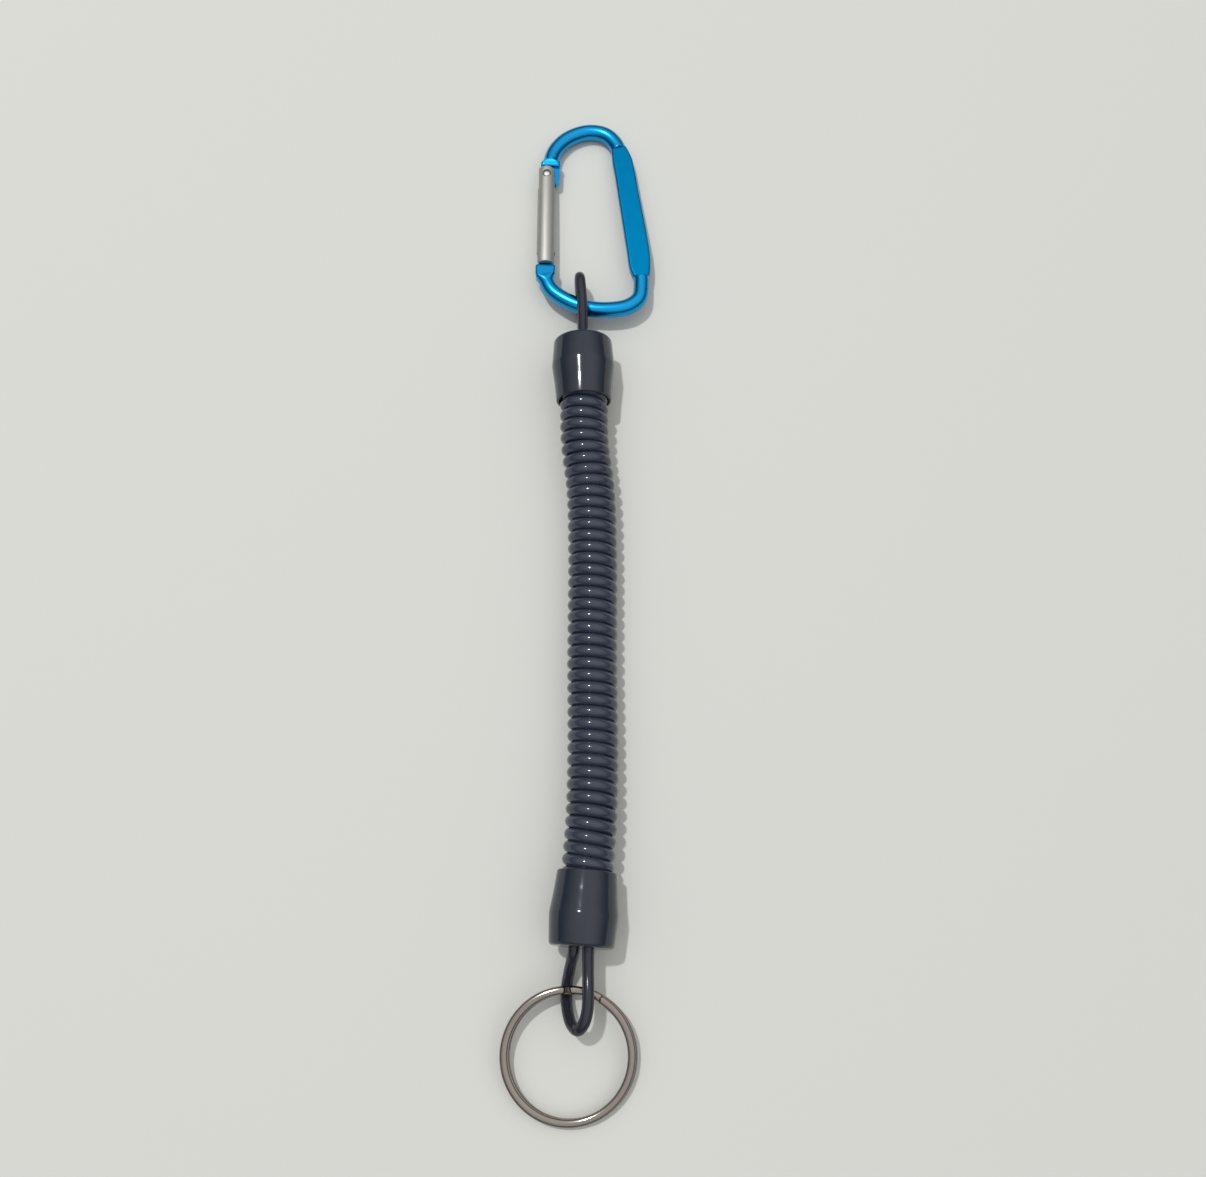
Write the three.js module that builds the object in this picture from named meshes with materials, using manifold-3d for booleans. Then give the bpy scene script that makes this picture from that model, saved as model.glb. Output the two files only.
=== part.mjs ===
// Coiled lanyard: a small snap hook and a split key ring on the two looped ends of a springy coiled cord.
// Millimetres, +Z up. It lies on the plane z = 0 with its length along Y: the hook at +Y, the ring at -Y.
import * as THREE from 'three';
import { mergeVertices } from 'three/addons/utils/BufferGeometryUtils.js';
import Module from 'manifold-3d';

const wasm = await Module();
wasm.setup();

// Cord and coil
const CORD_DIAMETER = 1.76;
const CORD_RADIUS = CORD_DIAMETER / 2;
const LOOP_SIDES = 8;
const LOOP_STEPS = 44;
const COIL_RADIUS = 3.65;
const COIL_TURNS = 42.5;
const COIL_START_TURN = 0.98;
const STEPS_PER_CURL = 8;
const CURL_SIDES = 5;
const TAIL_BEND_RADIUS = 2;
const TAIL_BEND_STEPS = 3;
const LEAST_ALLOWED_GAP = 0.4;
const GAP_POINTS_PER_STEP = 4;
const GAP_DIAMETERS_ALONG = 3;

// End caps, each measured from its mouth at the coil to its closed end at the loop
const FIT_GAP = 0.3;
const CUT_OVERRUN = 1;
const CAP_LENGTH = 13.3;
const CAP_MOUTH_RADIUS = 5.55;
const CAP_BELLY_RADIUS = 6.35;
const CAP_BELLY_AT = 7.6;
const CAP_SHOULDER_RADIUS = 5.95;
const CAP_SHOULDER_AT = 12.6;
const CAP_END_RADIUS = 5.35;
const CAP_RIM_BEVEL = 0.3;
const CAP_BORE_RADIUS = 4.98;
const CAP_BORE_DEPTH = 10.6;
const CAP_SEGMENTS = 20;
const FERRULE_RADIUS = CAP_BORE_RADIUS - FIT_GAP;
const FERRULE_LENGTH = 3.6;
const FERRULE_START = CAP_BORE_DEPTH - FIT_GAP - FERRULE_LENGTH;
const STRAND_OFFSET = 1.55;
const STRAND_HOLE_RADIUS = 1.25;
const STRAND_HOLE_SIDES = 12;
const STRAND_GRIP = 0.5;
const STRAND_STRAIGHT = 0.7;
const STRAND_IN_WALL = 1;

// Where each cap's mouth lies, which way it points in plan and how its two strands are turned about its axis
const UPPER_CAP = { mouth: new THREE.Vector3(0, 34.8, CAP_BELLY_RADIUS), heading: 1.2, strands: 90 };
const LOWER_CAP = { mouth: new THREE.Vector3(1, -57.6, CAP_BELLY_RADIUS), heading: 175.5, strands: 148 };

// Middle of the coil between the two mouths: it sags onto the table and bows a little to one side
const COIL_AXIS = [
  [0.15, 25.7, 5.95],
  [0.9, 16.5, 5.3],
  [1.65, 3, 4.8],
  [1.75, -18, 4.75],
  [1.85, -35, 5],
  [1.55, -48, 5.8],
];

// Free stretch of each loop, from the strand that passes over its fitting to the one that passes under it
const UPPER_LOOP = [
  [-0.33, 52.2, 7.4],
  [-0.45, 57, 7.25],
  [-0.75, 60.75, 7.05],
  [-0.88, 62.23, 6.65],
  [-1, 63.3, 5.57],
  [-1.1, 63.7, 4.1],
  [-1.07, 63.3, 2.63],
  [-0.97, 62.23, 1.55],
  [-0.86, 60.75, 1.15],
  [-0.6, 57, 1.05],
  [-0.42, 52.4, 2.4],
];
const LOWER_LOOP = [
  [1.22, -75, 7.55],
  [1.25, -78.5, 8],
  [1.1, -81.5, 8.1],
  [0.45, -83.7, 7.75],
  [-0.6, -84.8, 6.5],
  [-1.85, -83.8, 4.3],
  [-2.65, -81, 2],
  [-2.7, -77.8, 1.25],
  [-2.15, -74.4, 2.7],
];

// Carabiner, drawn in its own plane with its lower bar's middle at height 0; the far end lies on the table
const ROD_RADIUS = 1.65;
const ROD_SIDES = 12;
const ROD_STEPS = 46;
const BAR_Y = 56.5;
const BAR_Z = 4;
const BOW_HEIGHT = 44.25;
const CARABINER_TILT = Math.asin((BAR_Z - ROD_RADIUS) / BOW_HEIGHT);
const ROD_ROUTE = [
  [-7.75, 34.8],
  [-7.35, 37.2],
  [-6.3, 39.9],
  [-3.6, 42.7],
  [0.6, BOW_HEIGHT],
  [4.3, 43.6],
  [6.6, 41.2],
  [7.95, 37],
  [9.45, 27.2],
  [10.95, 16.7],
  [11.68, 10.5],
  [11.95, 6.5],
  [11.4, 2.8],
  [9, 0.75],
  [4.4, 0],
  [0.6, 0.4],
  [-3.4, 2.2],
  [-6.75, 4.9],
  [-8.25, 7.8],
  [-8.4, 10.2],
];
const SPINE_THICKNESS = 2.2;
const SPINE_INNER_TOP = [5.6, 39.3];
const SPINE_INNER_FOOT = [10.3, 7.5];
const SPINE_OUTER_FOOT = [13.5, 7.6];
const SPINE_INNER_CURVES = [[7.45, 27, 9.15, 11.6], [9.4, 9.2, ...SPINE_INNER_FOOT]];
const SPINE_OUTER_CURVES = [[14.15, 10.2, 13.6, 14.6], [12.1, 26, 10.05, 36.4], [9.5, 38.4, 8.7, 39.8]];
const SPINE_CURVE_SEGMENTS = 5;
const TANG_THICKNESS = 1.3;
const TONGUE_THICKNESS = 1.2;
const NOSE_THICKNESS = 3;
const SHOULDER_AT = 34.65;
const SHOULDER_OUTLINE = [[-9.6, SHOULDER_AT], [-5.5, SHOULDER_AT], [-5.2, 36.1], [-9.05, 36.7]];
const TANG_LOW = 30.6;
const TANG_OUTLINE = [
  [-9.6, 35.6],
  [-9.6, 31.4],
  [-9.1, TANG_LOW],
  [-6.2, TANG_LOW],
  [-5.6, 31.2],
  [-5.4, 35.6],
];
const NOSE_AT = 10.4;
const NOSE_OUTLINE = [
  [-10.25, NOSE_AT],
  [-10.25, 8.6],
  [-9.6, 6.6],
  [-5.9, 6.6],
  [-6.1, 8.3],
  [-6.1, NOSE_AT],
];
const TONGUE_TOP = 13.2;
const TONGUE_OUTLINE = [
  [-9.7, 9.8],
  [-7, 9.8],
  [-7, 12.8],
  [-7.4, TONGUE_TOP],
  [-9.3, TONGUE_TOP],
  [-9.7, 12.8],
];

// Gate of the carabiner, with the spring and the plunger that close it
const GATE_X = -8.35;
const GATE_RADIUS = 1.875;
const GATE_SIDES = 16;
const GATE_CORNER_SEGMENTS = 5;
const GATE_CUT_DEPTH = 4 * GATE_RADIUS;
const GATE_LOW = NOSE_AT + FIT_GAP;
const RIVET_AT = 32.45;
const RIVET_RADIUS = 0.6;
const RIVET_LENGTH = 3.6;
const RIVET_HOLE_RADIUS = RIVET_RADIUS + FIT_GAP;
const RIVET_SIDES = 12;
const RIVET_DRILL_LENGTH = 2 * RIVET_LENGTH;
const FORK_GAP = TANG_THICKNESS + 2 * FIT_GAP;
const FORK_LOW = 29.2;
const NOSE_SLOT_GAP = TONGUE_THICKNESS + 2 * FIT_GAP;
const NOSE_SLOT_TOP = TONGUE_TOP + FIT_GAP;
const PLUNGER_RADIUS = 0.8;
const PLUNGER_TOP = TANG_LOW - FIT_GAP;
const PLUNGER_LENGTH = 3.4;
const GATE_BORE_RADIUS = PLUNGER_RADIUS + FIT_GAP;
const GATE_BORE_LOW = 17.9;
const SPRING_WIRE_RADIUS = 0.15;
const SPRING_RADIUS = 0.62;
const SPRING_TURNS = 6;

// Split ring: flat wire wound nearly twice, one turn on top of the other
const RING_X = -2.4;
const RING_Y = -89.35;
const RING_OUTER_RADIUS = 12.15;
const RING_WIRE_WIDTH = 1.5;
const RING_WIRE_HEIGHT = 0.85;
const RING_WIRE_BEVEL = 0.25;
const RING_TURN_GAP = 0.45;
const RING_TURN_RISE = RING_WIRE_HEIGHT + RING_TURN_GAP;
const RING_TILT = THREE.MathUtils.degToRad(8);
const RING_CUT_ANGLE = 60;
const RING_TOP_TRAVEL = 325;
const RING_STEP_DOWN = 12;
const RING_TRAVEL = 684;
const RING_LOWER_SHIFT = [0.3, -0.2];
const RING_STEPS = 62;

// Finishes, as colour, roughness and metalness
const BLUE_ANODISE = { color: 0x0f7fc0, roughness: 0.28, metalness: 0.9 };
const RAW_ALUMINIUM = { color: 0xb9b8b0, roughness: 0.35, metalness: 0.95 };
const STEEL = { color: 0xc9c9c4, roughness: 0.25, metalness: 1 };
const NICKEL = { color: 0xa79d92, roughness: 0.2, metalness: 1 };
const DARK_CORD = { color: 0x1d242b, roughness: 0.25, metalness: 0 };
const DARK_PLASTIC = { color: 0x1f272c, roughness: 0.22, metalness: 0 };
const CRIMP_METAL = { color: 0x9a8f80, roughness: 0.4, metalness: 0.9 };

// Solids for joining and cutting

function toSolid(geometry) {
  const bare = geometry.clone();
  bare.deleteAttribute('normal');
  bare.deleteAttribute('uv');
  const merged = mergeVertices(bare);
  const corners = merged.index.array;
  const kept = [];
  for (let at = 0; at < corners.length; at += 3) {
    const [a, b, c] = [corners[at], corners[at + 1], corners[at + 2]];
    if (a !== b && b !== c && c !== a) {
      kept.push(a, b, c);
    }
  }
  const vertProperties = new Float32Array(merged.attributes.position.array);
  return new wasm.Manifold(new wasm.Mesh({ numProp: 3, vertProperties, triVerts: new Uint32Array(kept) }));
}

function toGeometry(solid) {
  const mesh = solid.getMesh();
  const geometry = new THREE.BufferGeometry();
  geometry.setAttribute('position', new THREE.BufferAttribute(new Float32Array(mesh.vertProperties), 3));
  geometry.setIndex(new THREE.BufferAttribute(new Uint32Array(mesh.triVerts), 1));
  geometry.computeVertexNormals();
  return geometry;
}

// Common shapes

function roundShape(radius, sides) {
  const shape = new THREE.Shape();
  for (let side = 0; side < sides; side += 1) {
    const angle = (2 * Math.PI * side) / sides;
    const [x, y] = [radius * Math.cos(angle), radius * Math.sin(angle)];
    if (side === 0) {
      shape.moveTo(x, y);
    } else {
      shape.lineTo(x, y);
    }
  }
  shape.closePath();
  return shape;
}

function tubeAlong(curve, radius, sides, steps) {
  const section = roundShape(radius, sides);
  return new THREE.ExtrudeGeometry(section, { steps, extrudePath: curve, bevelEnabled: false });
}

// A flat plate of the given outline, centred on the plane z = 0
function plate(outline, thickness) {
  const shape = new THREE.Shape(outline.map(([x, y]) => new THREE.Vector2(x, y)));
  const geometry = new THREE.ExtrudeGeometry(shape, { depth: thickness, bevelEnabled: false });
  return geometry.translate(0, 0, -thickness / 2);
}

function rodAlongY(radius, sides, low, high, x) {
  const geometry = new THREE.CylinderGeometry(radius, radius, high - low, sides);
  return geometry.translate(x, (low + high) / 2, 0);
}

function pinAlongZ(radius, sides, length, x, y) {
  const geometry = new THREE.CylinderGeometry(radius, radius, length, sides);
  return geometry.rotateX(Math.PI / 2).translate(x, y, 0);
}

// A closed skin over a row of rings of points, with a flat face over the first ring and over the last
function skin(rings) {
  const sides = rings[0].length;
  const triangles = [];
  for (let ring = 0; ring < rings.length - 1; ring += 1) {
    for (let side = 0; side < sides; side += 1) {
      const a = ring * sides + side;
      const b = ring * sides + ((side + 1) % sides);
      triangles.push(a, b, b + sides, a, b + sides, a + sides);
    }
  }
  const last = (rings.length - 1) * sides;
  for (let side = 1; side < sides - 1; side += 1) {
    triangles.push(0, side + 1, side, last, last + side, last + side + 1);
  }
  const geometry = new THREE.BufferGeometry().setFromPoints(rings.flat());
  geometry.setIndex(triangles);
  geometry.computeVertexNormals();
  return geometry;
}

// Curled tubes: the coil and the gate's spring

// Turn angle and distance along the axis at each step: a straight tail, a bend, the curls, and the same back
function curlSteps(axisLength, turns, radius, tubeRadius, bendRadius) {
  const straight = 2 * tubeRadius;
  const tailLength = straight + bendRadius;
  const pitch = (axisLength - 2 * tailLength) / turns;
  const tail = [[-bendRadius / radius, 0]];
  for (let step = 0; step < TAIL_BEND_STEPS; step += 1) {
    const bend = ((Math.PI / 2) * step) / TAIL_BEND_STEPS;
    tail.push([(-bendRadius / radius) * Math.cos(bend), straight + bendRadius * Math.sin(bend)]);
  }
  const curls = [];
  for (let step = 0; step <= turns * STEPS_PER_CURL; step += 1) {
    const turned = step / STEPS_PER_CURL;
    curls.push([2 * Math.PI * turned, tailLength + pitch * turned]);
  }
  const back = tail.map(([angle, along]) => [2 * Math.PI * turns - angle, axisLength - along]).reverse();
  return [...tail, ...curls, ...back];
}

// Centre of the tube and outward direction at one step of a left-handed curl round the axis
function curlStation(axis, axisLength, radius, startTurn, [angle, along]) {
  const share = along / axisLength;
  const heading = axis.getTangentAt(share);
  const side = new THREE.Vector3(0, 0, 1).cross(heading).normalize();
  const up = heading.clone().cross(side);
  const turned = 2 * Math.PI * startTurn - angle;
  const outward = side.multiplyScalar(Math.cos(turned)).addScaledVector(up, Math.sin(turned));
  return { centre: axis.getPointAt(share).addScaledVector(outward, radius), outward };
}

function curledTube(axis, turns, radius, tubeRadius, bendRadius, startTurn) {
  const axisLength = axis.getLength();
  const steps = curlSteps(axisLength, turns, radius, tubeRadius, bendRadius);
  const stations = steps.map((step) => curlStation(axis, axisLength, radius, startTurn, step));
  const centres = stations.map((station) => station.centre);
  const rings = stations.map(({ centre, outward }, index) => {
    const before = centres[Math.max(index - 1, 0)];
    const after = centres[Math.min(index + 1, centres.length - 1)];
    const tangent = after.clone().sub(before).normalize();
    const first = outward.clone().addScaledVector(tangent, -outward.dot(tangent)).normalize();
    const second = tangent.clone().cross(first);
    return Array.from({ length: CURL_SIDES }, (_, side) => {
      const angle = (2 * Math.PI * side) / CURL_SIDES;
      return centre
        .clone()
        .addScaledVector(first, tubeRadius * Math.cos(angle))
        .addScaledVector(second, tubeRadius * Math.sin(angle));
    });
  });
  return { geometry: skin(rings), centres };
}

// Least clear distance of a tube from itself, between points that lie well apart along it
function leastSelfGap(centres, diameter) {
  const points = new THREE.CatmullRomCurve3(centres).getPoints(centres.length * GAP_POINTS_PER_STEP);
  const travelled = [0];
  for (let at = 1; at < points.length; at += 1) {
    travelled.push(travelled[at - 1] + points[at].distanceTo(points[at - 1]));
  }
  let least = Infinity;
  for (let from = 0; from < points.length; from += 1) {
    for (let to = from + 1; to < points.length; to += 1) {
      if (travelled[to] - travelled[from] > GAP_DIAMETERS_ALONG * diameter) {
        least = Math.min(least, points[from].distanceTo(points[to]));
      }
    }
  }
  return least - diameter;
}

function reportGap(name, gap) {
  const verdict = gap > LEAST_ALLOWED_GAP ? 'clear' : 'too close';
  console.log(`${name}: least gap to itself ${gap.toFixed(3)} mm, ${verdict}`);
}

// End caps and what they hold

function capPoint(cap, along, x = 0, z = 0) {
  const turned = new THREE.Vector3(x, along, z);
  turned.applyAxisAngle(new THREE.Vector3(0, 0, 1), THREE.MathUtils.degToRad(cap.heading));
  return turned.add(cap.mouth);
}

function strandOffset(cap, sign) {
  const angle = THREE.MathUtils.degToRad(cap.strands);
  return [sign * STRAND_OFFSET * Math.cos(angle), sign * STRAND_OFFSET * Math.sin(angle)];
}

function drillStrandHoles(solid, cap) {
  let drilled = solid;
  for (const sign of [1, -1]) {
    const [x, z] = strandOffset(cap, sign);
    const [low, high] = [FERRULE_START - CUT_OVERRUN, CAP_LENGTH + CUT_OVERRUN];
    const drill = rodAlongY(STRAND_HOLE_RADIUS, STRAND_HOLE_SIDES, low, high, x);
    drilled = drilled.subtract(toSolid(drill.translate(0, 0, z)));
  }
  return drilled;
}

function endCap(cap) {
  const profile = [
    [0, CAP_BORE_DEPTH],
    [CAP_BORE_RADIUS, CAP_BORE_DEPTH],
    [CAP_BORE_RADIUS, 0],
    [CAP_MOUTH_RADIUS - CAP_RIM_BEVEL / 2, 0],
    [CAP_MOUTH_RADIUS, CAP_RIM_BEVEL],
    [CAP_BELLY_RADIUS, CAP_BELLY_AT],
    [CAP_SHOULDER_RADIUS, CAP_SHOULDER_AT],
    [CAP_END_RADIUS, CAP_LENGTH],
    [0, CAP_LENGTH],
  ];
  const points = profile.map(([radius, along]) => new THREE.Vector2(radius, along));
  return toGeometry(drillStrandHoles(toSolid(new THREE.LatheGeometry(points, CAP_SEGMENTS)), cap));
}

function ferrule(cap) {
  const block = rodAlongY(FERRULE_RADIUS, CAP_SEGMENTS, FERRULE_START, FERRULE_START + FERRULE_LENGTH, 0);
  return toGeometry(drillStrandHoles(toSolid(block), cap));
}

function coilAxis() {
  const middle = COIL_AXIS.map(([x, y, z]) => new THREE.Vector3(x, y, z));
  const reach = FERRULE_START - FIT_GAP;
  return new THREE.CatmullRomCurve3([
    capPoint(UPPER_CAP, reach),
    capPoint(UPPER_CAP, 0),
    ...middle,
    capPoint(LOWER_CAP, 0),
    capPoint(LOWER_CAP, reach),
  ]);
}

function coilCord() {
  const axis = coilAxis();
  const coil = curledTube(axis, COIL_TURNS, COIL_RADIUS, CORD_RADIUS, TAIL_BEND_RADIUS, COIL_START_TURN);
  reportGap('coil_cord', leastSelfGap(coil.centres, CORD_DIAMETER));
  return coil.geometry;
}

function cordLoop(cap, route) {
  const ends = [1, -1].map((sign) => {
    const [x, z] = strandOffset(cap, sign);
    const [gripped, inWall, outside] = [FERRULE_START + STRAND_GRIP, -STRAND_IN_WALL, STRAND_STRAIGHT];
    const stations = [gripped, CAP_LENGTH + inWall, CAP_LENGTH + outside];
    return stations.map((along) => capPoint(cap, along, x, z));
  });
  const free = route.map(([x, y, z]) => new THREE.Vector3(x, y, z));
  const curve = new THREE.CatmullRomCurve3([...ends[0], ...free, ...ends[1].reverse()]);
  return tubeAlong(curve, CORD_RADIUS, LOOP_SIDES, LOOP_STEPS);
}

// Carabiner, in its own plane

function spineShape() {
  const shape = new THREE.Shape();
  shape.moveTo(...SPINE_INNER_TOP);
  SPINE_INNER_CURVES.forEach((curve) => shape.quadraticCurveTo(...curve));
  shape.lineTo(...SPINE_OUTER_FOOT);
  SPINE_OUTER_CURVES.forEach((curve) => shape.quadraticCurveTo(...curve));
  shape.closePath();
  return shape;
}

function spineSlab(low, high) {
  const geometry = new THREE.ExtrudeGeometry(spineShape(), {
    depth: high - low,
    bevelEnabled: false,
    curveSegments: SPINE_CURVE_SEGMENTS,
  });
  return toSolid(geometry.translate(0, 0, low));
}

function carabinerFrame() {
  const route = new THREE.CatmullRomCurve3(ROD_ROUTE.map(([x, y]) => new THREE.Vector3(x, y, 0)));
  const rod = toSolid(tubeAlong(route, ROD_RADIUS, ROD_SIDES, ROD_STEPS));
  const half = SPINE_THICKNESS / 2;
  const pressed = rod.subtract(spineSlab(half, 2 * ROD_RADIUS)).subtract(spineSlab(-2 * ROD_RADIUS, -half));
  const shoulder = plate(SHOULDER_OUTLINE, NOSE_THICKNESS);
  const tang = plate(TANG_OUTLINE, TANG_THICKNESS);
  const nose = plate(NOSE_OUTLINE, NOSE_THICKNESS);
  const tongue = plate(TONGUE_OUTLINE, TONGUE_THICKNESS);
  const whole = [shoulder, tang, nose, tongue].reduce((body, piece) => body.add(toSolid(piece)), pressed);
  const rivetHole = pinAlongZ(RIVET_HOLE_RADIUS, RIVET_SIDES, RIVET_DRILL_LENGTH, GATE_X, RIVET_AT);
  return toGeometry(whole.add(spineSlab(-half, half)).subtract(toSolid(rivetHole)));
}

// Outline of the gate seen from above: its inner top corner is round about the rivet, so that it can swing
function gateShape() {
  const [left, right] = [GATE_X - GATE_RADIUS, GATE_X + GATE_RADIUS];
  const shape = new THREE.Shape();
  shape.moveTo(left, GATE_LOW);
  shape.lineTo(right, GATE_LOW);
  shape.lineTo(right, RIVET_AT);
  shape.absarc(GATE_X, RIVET_AT, GATE_RADIUS, 0, Math.PI / 2, false);
  shape.lineTo(left, RIVET_AT + GATE_RADIUS);
  shape.closePath();
  return shape;
}

function carabinerGate() {
  const top = RIVET_AT + GATE_RADIUS;
  const [low, high] = [GATE_LOW - CUT_OVERRUN, top + CUT_OVERRUN];
  const outline = new THREE.ExtrudeGeometry(gateShape(), {
    depth: GATE_CUT_DEPTH,
    bevelEnabled: false,
    curveSegments: GATE_CORNER_SEGMENTS,
  });
  const rod = toSolid(rodAlongY(GATE_RADIUS, GATE_SIDES, low, high, GATE_X));
  const body = rod.intersect(toSolid(outline.translate(0, 0, -GATE_CUT_DEPTH / 2)));
  const fork = new THREE.BoxGeometry(GATE_CUT_DEPTH, high - FORK_LOW, FORK_GAP);
  fork.translate(GATE_X, (high + FORK_LOW) / 2, 0);
  const noseSlot = new THREE.BoxGeometry(GATE_CUT_DEPTH, NOSE_SLOT_TOP - low, NOSE_SLOT_GAP);
  noseSlot.translate(GATE_X, (NOSE_SLOT_TOP + low) / 2, 0);
  const bore = rodAlongY(GATE_BORE_RADIUS, RIVET_SIDES, GATE_BORE_LOW, FORK_LOW + CUT_OVERRUN, GATE_X);
  const rivetHole = pinAlongZ(RIVET_HOLE_RADIUS, RIVET_SIDES, RIVET_DRILL_LENGTH, GATE_X, RIVET_AT);
  const cuts = [fork, noseSlot, bore, rivetHole];
  return toGeometry(cuts.reduce((solid, cut) => solid.subtract(toSolid(cut)), body));
}

function gatePlunger() {
  const low = PLUNGER_TOP - PLUNGER_LENGTH;
  const profile = [
    [0, low],
    [PLUNGER_RADIUS, low],
    [PLUNGER_RADIUS, PLUNGER_TOP - PLUNGER_RADIUS / 2],
    [PLUNGER_RADIUS / 2, PLUNGER_TOP],
    [0, PLUNGER_TOP],
  ];
  const points = profile.map(([radius, along]) => new THREE.Vector2(radius, along));
  return new THREE.LatheGeometry(points, RIVET_SIDES).translate(GATE_X, 0, 0);
}

function gateSpring() {
  const low = new THREE.Vector3(GATE_X, GATE_BORE_LOW + FIT_GAP, 0);
  const high = new THREE.Vector3(GATE_X, PLUNGER_TOP - PLUNGER_LENGTH - FIT_GAP, 0);
  const axis = new THREE.LineCurve3(low, high);
  const bendRadius = 2 * SPRING_WIRE_RADIUS;
  const spring = curledTube(axis, SPRING_TURNS, SPRING_RADIUS, SPRING_WIRE_RADIUS, bendRadius, 0);
  reportGap('gate_spring', leastSelfGap(spring.centres, 2 * SPRING_WIRE_RADIUS));
  return spring.geometry;
}

// Split ring, in its own plane

// How far the wire has stepped down from the upper turn to the lower, from 0 to 1
function steppedDown(travel) {
  return THREE.MathUtils.smoothstep(travel, RING_TOP_TRAVEL, RING_TOP_TRAVEL + RING_STEP_DOWN);
}

function splitRing() {
  const radius = RING_OUTER_RADIUS - RING_WIRE_WIDTH / 2;
  const [x, y, bevel] = [RING_WIRE_WIDTH / 2, RING_WIRE_HEIGHT / 2, RING_WIRE_BEVEL];
  const section = [[x, bevel - y], [x, y - bevel], [x - bevel, y], [bevel - x, y]];
  const wholeSection = [...section, ...section.map(([out, up]) => [-out, -up])];
  const rings = [];
  for (let step = 0; step <= RING_STEPS; step += 1) {
    const travel = (RING_TRAVEL * step) / RING_STEPS;
    const angle = THREE.MathUtils.degToRad(RING_CUT_ANGLE - travel);
    const down = steppedDown(travel);
    const level = RING_TURN_RISE * (0.5 - down);
    const [shiftX, shiftY] = RING_LOWER_SHIFT.map((shift) => shift * down);
    rings.push(
      wholeSection.map(([out, up]) => {
        const reach = radius + out;
        const [ringX, ringY] = [shiftX + reach * Math.cos(angle), shiftY + reach * Math.sin(angle)];
        return new THREE.Vector3(ringX, ringY, level + up);
      }),
    );
  }
  return skin(rings);
}

// The lanyard

function piece(name, geometry, finish) {
  const mesh = new THREE.Mesh(geometry, new THREE.MeshStandardMaterial(finish));
  mesh.name = name;
  return mesh;
}

function capGroup(side, cap) {
  const group = new THREE.Group();
  group.position.copy(cap.mouth);
  group.rotation.z = THREE.MathUtils.degToRad(cap.heading);
  group.add(piece(`${side}_end_cap`, endCap(cap), DARK_PLASTIC));
  group.add(piece(`${side}_ferrule`, ferrule(cap), CRIMP_METAL));
  return group;
}

function carabinerGroup() {
  const group = new THREE.Group();
  group.position.set(0, BAR_Y, BAR_Z);
  group.rotation.x = -CARABINER_TILT;
  group.add(piece('carabiner_frame', carabinerFrame(), BLUE_ANODISE));
  group.add(piece('carabiner_gate', carabinerGate(), RAW_ALUMINIUM));
  const rivet = pinAlongZ(RIVET_RADIUS, RIVET_SIDES, RIVET_LENGTH, GATE_X, RIVET_AT);
  group.add(piece('gate_hinge_rivet', rivet, STEEL));
  group.add(piece('gate_plunger', gatePlunger(), STEEL));
  group.add(piece('gate_spring', gateSpring(), STEEL));
  return group;
}

function ringGroup() {
  const halfStack = (RING_TURN_RISE + RING_WIRE_HEIGHT) / 2;
  const lowReach = RING_OUTER_RADIUS - RING_LOWER_SHIFT[1];
  const lift = lowReach * Math.sin(RING_TILT) + halfStack * Math.cos(RING_TILT);
  const group = new THREE.Group();
  group.position.set(RING_X, RING_Y, lift);
  group.rotation.x = RING_TILT;
  group.add(piece('split_ring', splitRing(), NICKEL));
  return group;
}

const lanyard = new THREE.Group();
lanyard.add(carabinerGroup());
lanyard.add(piece('upper_loop', cordLoop(UPPER_CAP, UPPER_LOOP), DARK_CORD));
lanyard.add(capGroup('upper', UPPER_CAP));
lanyard.add(piece('coil_cord', coilCord(), DARK_CORD));
lanyard.add(capGroup('lower', LOWER_CAP));
lanyard.add(piece('lower_loop', cordLoop(LOWER_CAP, LOWER_LOOP), DARK_CORD));
lanyard.add(ringGroup());

export default lanyard;
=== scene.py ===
"""Coiled lanyard: the looks of a snap hook and a key ring on the two looped ends of a springy coiled cord.

All sizes are in metres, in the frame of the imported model: +Z up, the hook at +Y, the ring at -Y.
"""

import logging
import math
from dataclasses import dataclass, field
from enum import Enum
from typing import Any

import bmesh
import bpy
import numpy as np
from mathutils import Matrix, Vector


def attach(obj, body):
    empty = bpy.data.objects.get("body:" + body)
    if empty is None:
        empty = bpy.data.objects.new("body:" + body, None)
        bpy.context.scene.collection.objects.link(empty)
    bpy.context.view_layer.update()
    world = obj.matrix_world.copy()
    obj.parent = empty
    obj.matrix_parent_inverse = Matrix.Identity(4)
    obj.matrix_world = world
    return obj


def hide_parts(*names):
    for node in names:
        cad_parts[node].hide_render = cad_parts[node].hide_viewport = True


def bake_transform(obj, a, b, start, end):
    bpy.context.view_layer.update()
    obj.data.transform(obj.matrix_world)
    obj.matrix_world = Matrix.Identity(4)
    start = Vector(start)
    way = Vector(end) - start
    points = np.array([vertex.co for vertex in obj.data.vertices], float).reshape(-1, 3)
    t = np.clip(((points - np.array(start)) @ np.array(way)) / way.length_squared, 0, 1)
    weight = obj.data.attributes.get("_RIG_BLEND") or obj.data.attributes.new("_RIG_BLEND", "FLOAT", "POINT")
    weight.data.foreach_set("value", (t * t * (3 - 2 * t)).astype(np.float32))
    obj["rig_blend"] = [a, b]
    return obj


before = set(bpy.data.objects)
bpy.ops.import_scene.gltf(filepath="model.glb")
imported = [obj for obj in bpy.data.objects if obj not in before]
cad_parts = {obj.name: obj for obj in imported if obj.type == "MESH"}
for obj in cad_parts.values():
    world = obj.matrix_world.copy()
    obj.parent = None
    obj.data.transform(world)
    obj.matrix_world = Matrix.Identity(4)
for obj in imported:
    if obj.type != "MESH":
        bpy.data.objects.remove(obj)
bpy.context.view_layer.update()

log = logging.getLogger("lanyard")
Piece = bpy.types.Object
Material = bpy.types.Material
Tree = bpy.types.NodeTree
Node = bpy.types.Node
Socket = bpy.types.NodeSocket
Colour = tuple[float, float, float, float]
Point = tuple[float, float, float]
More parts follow.
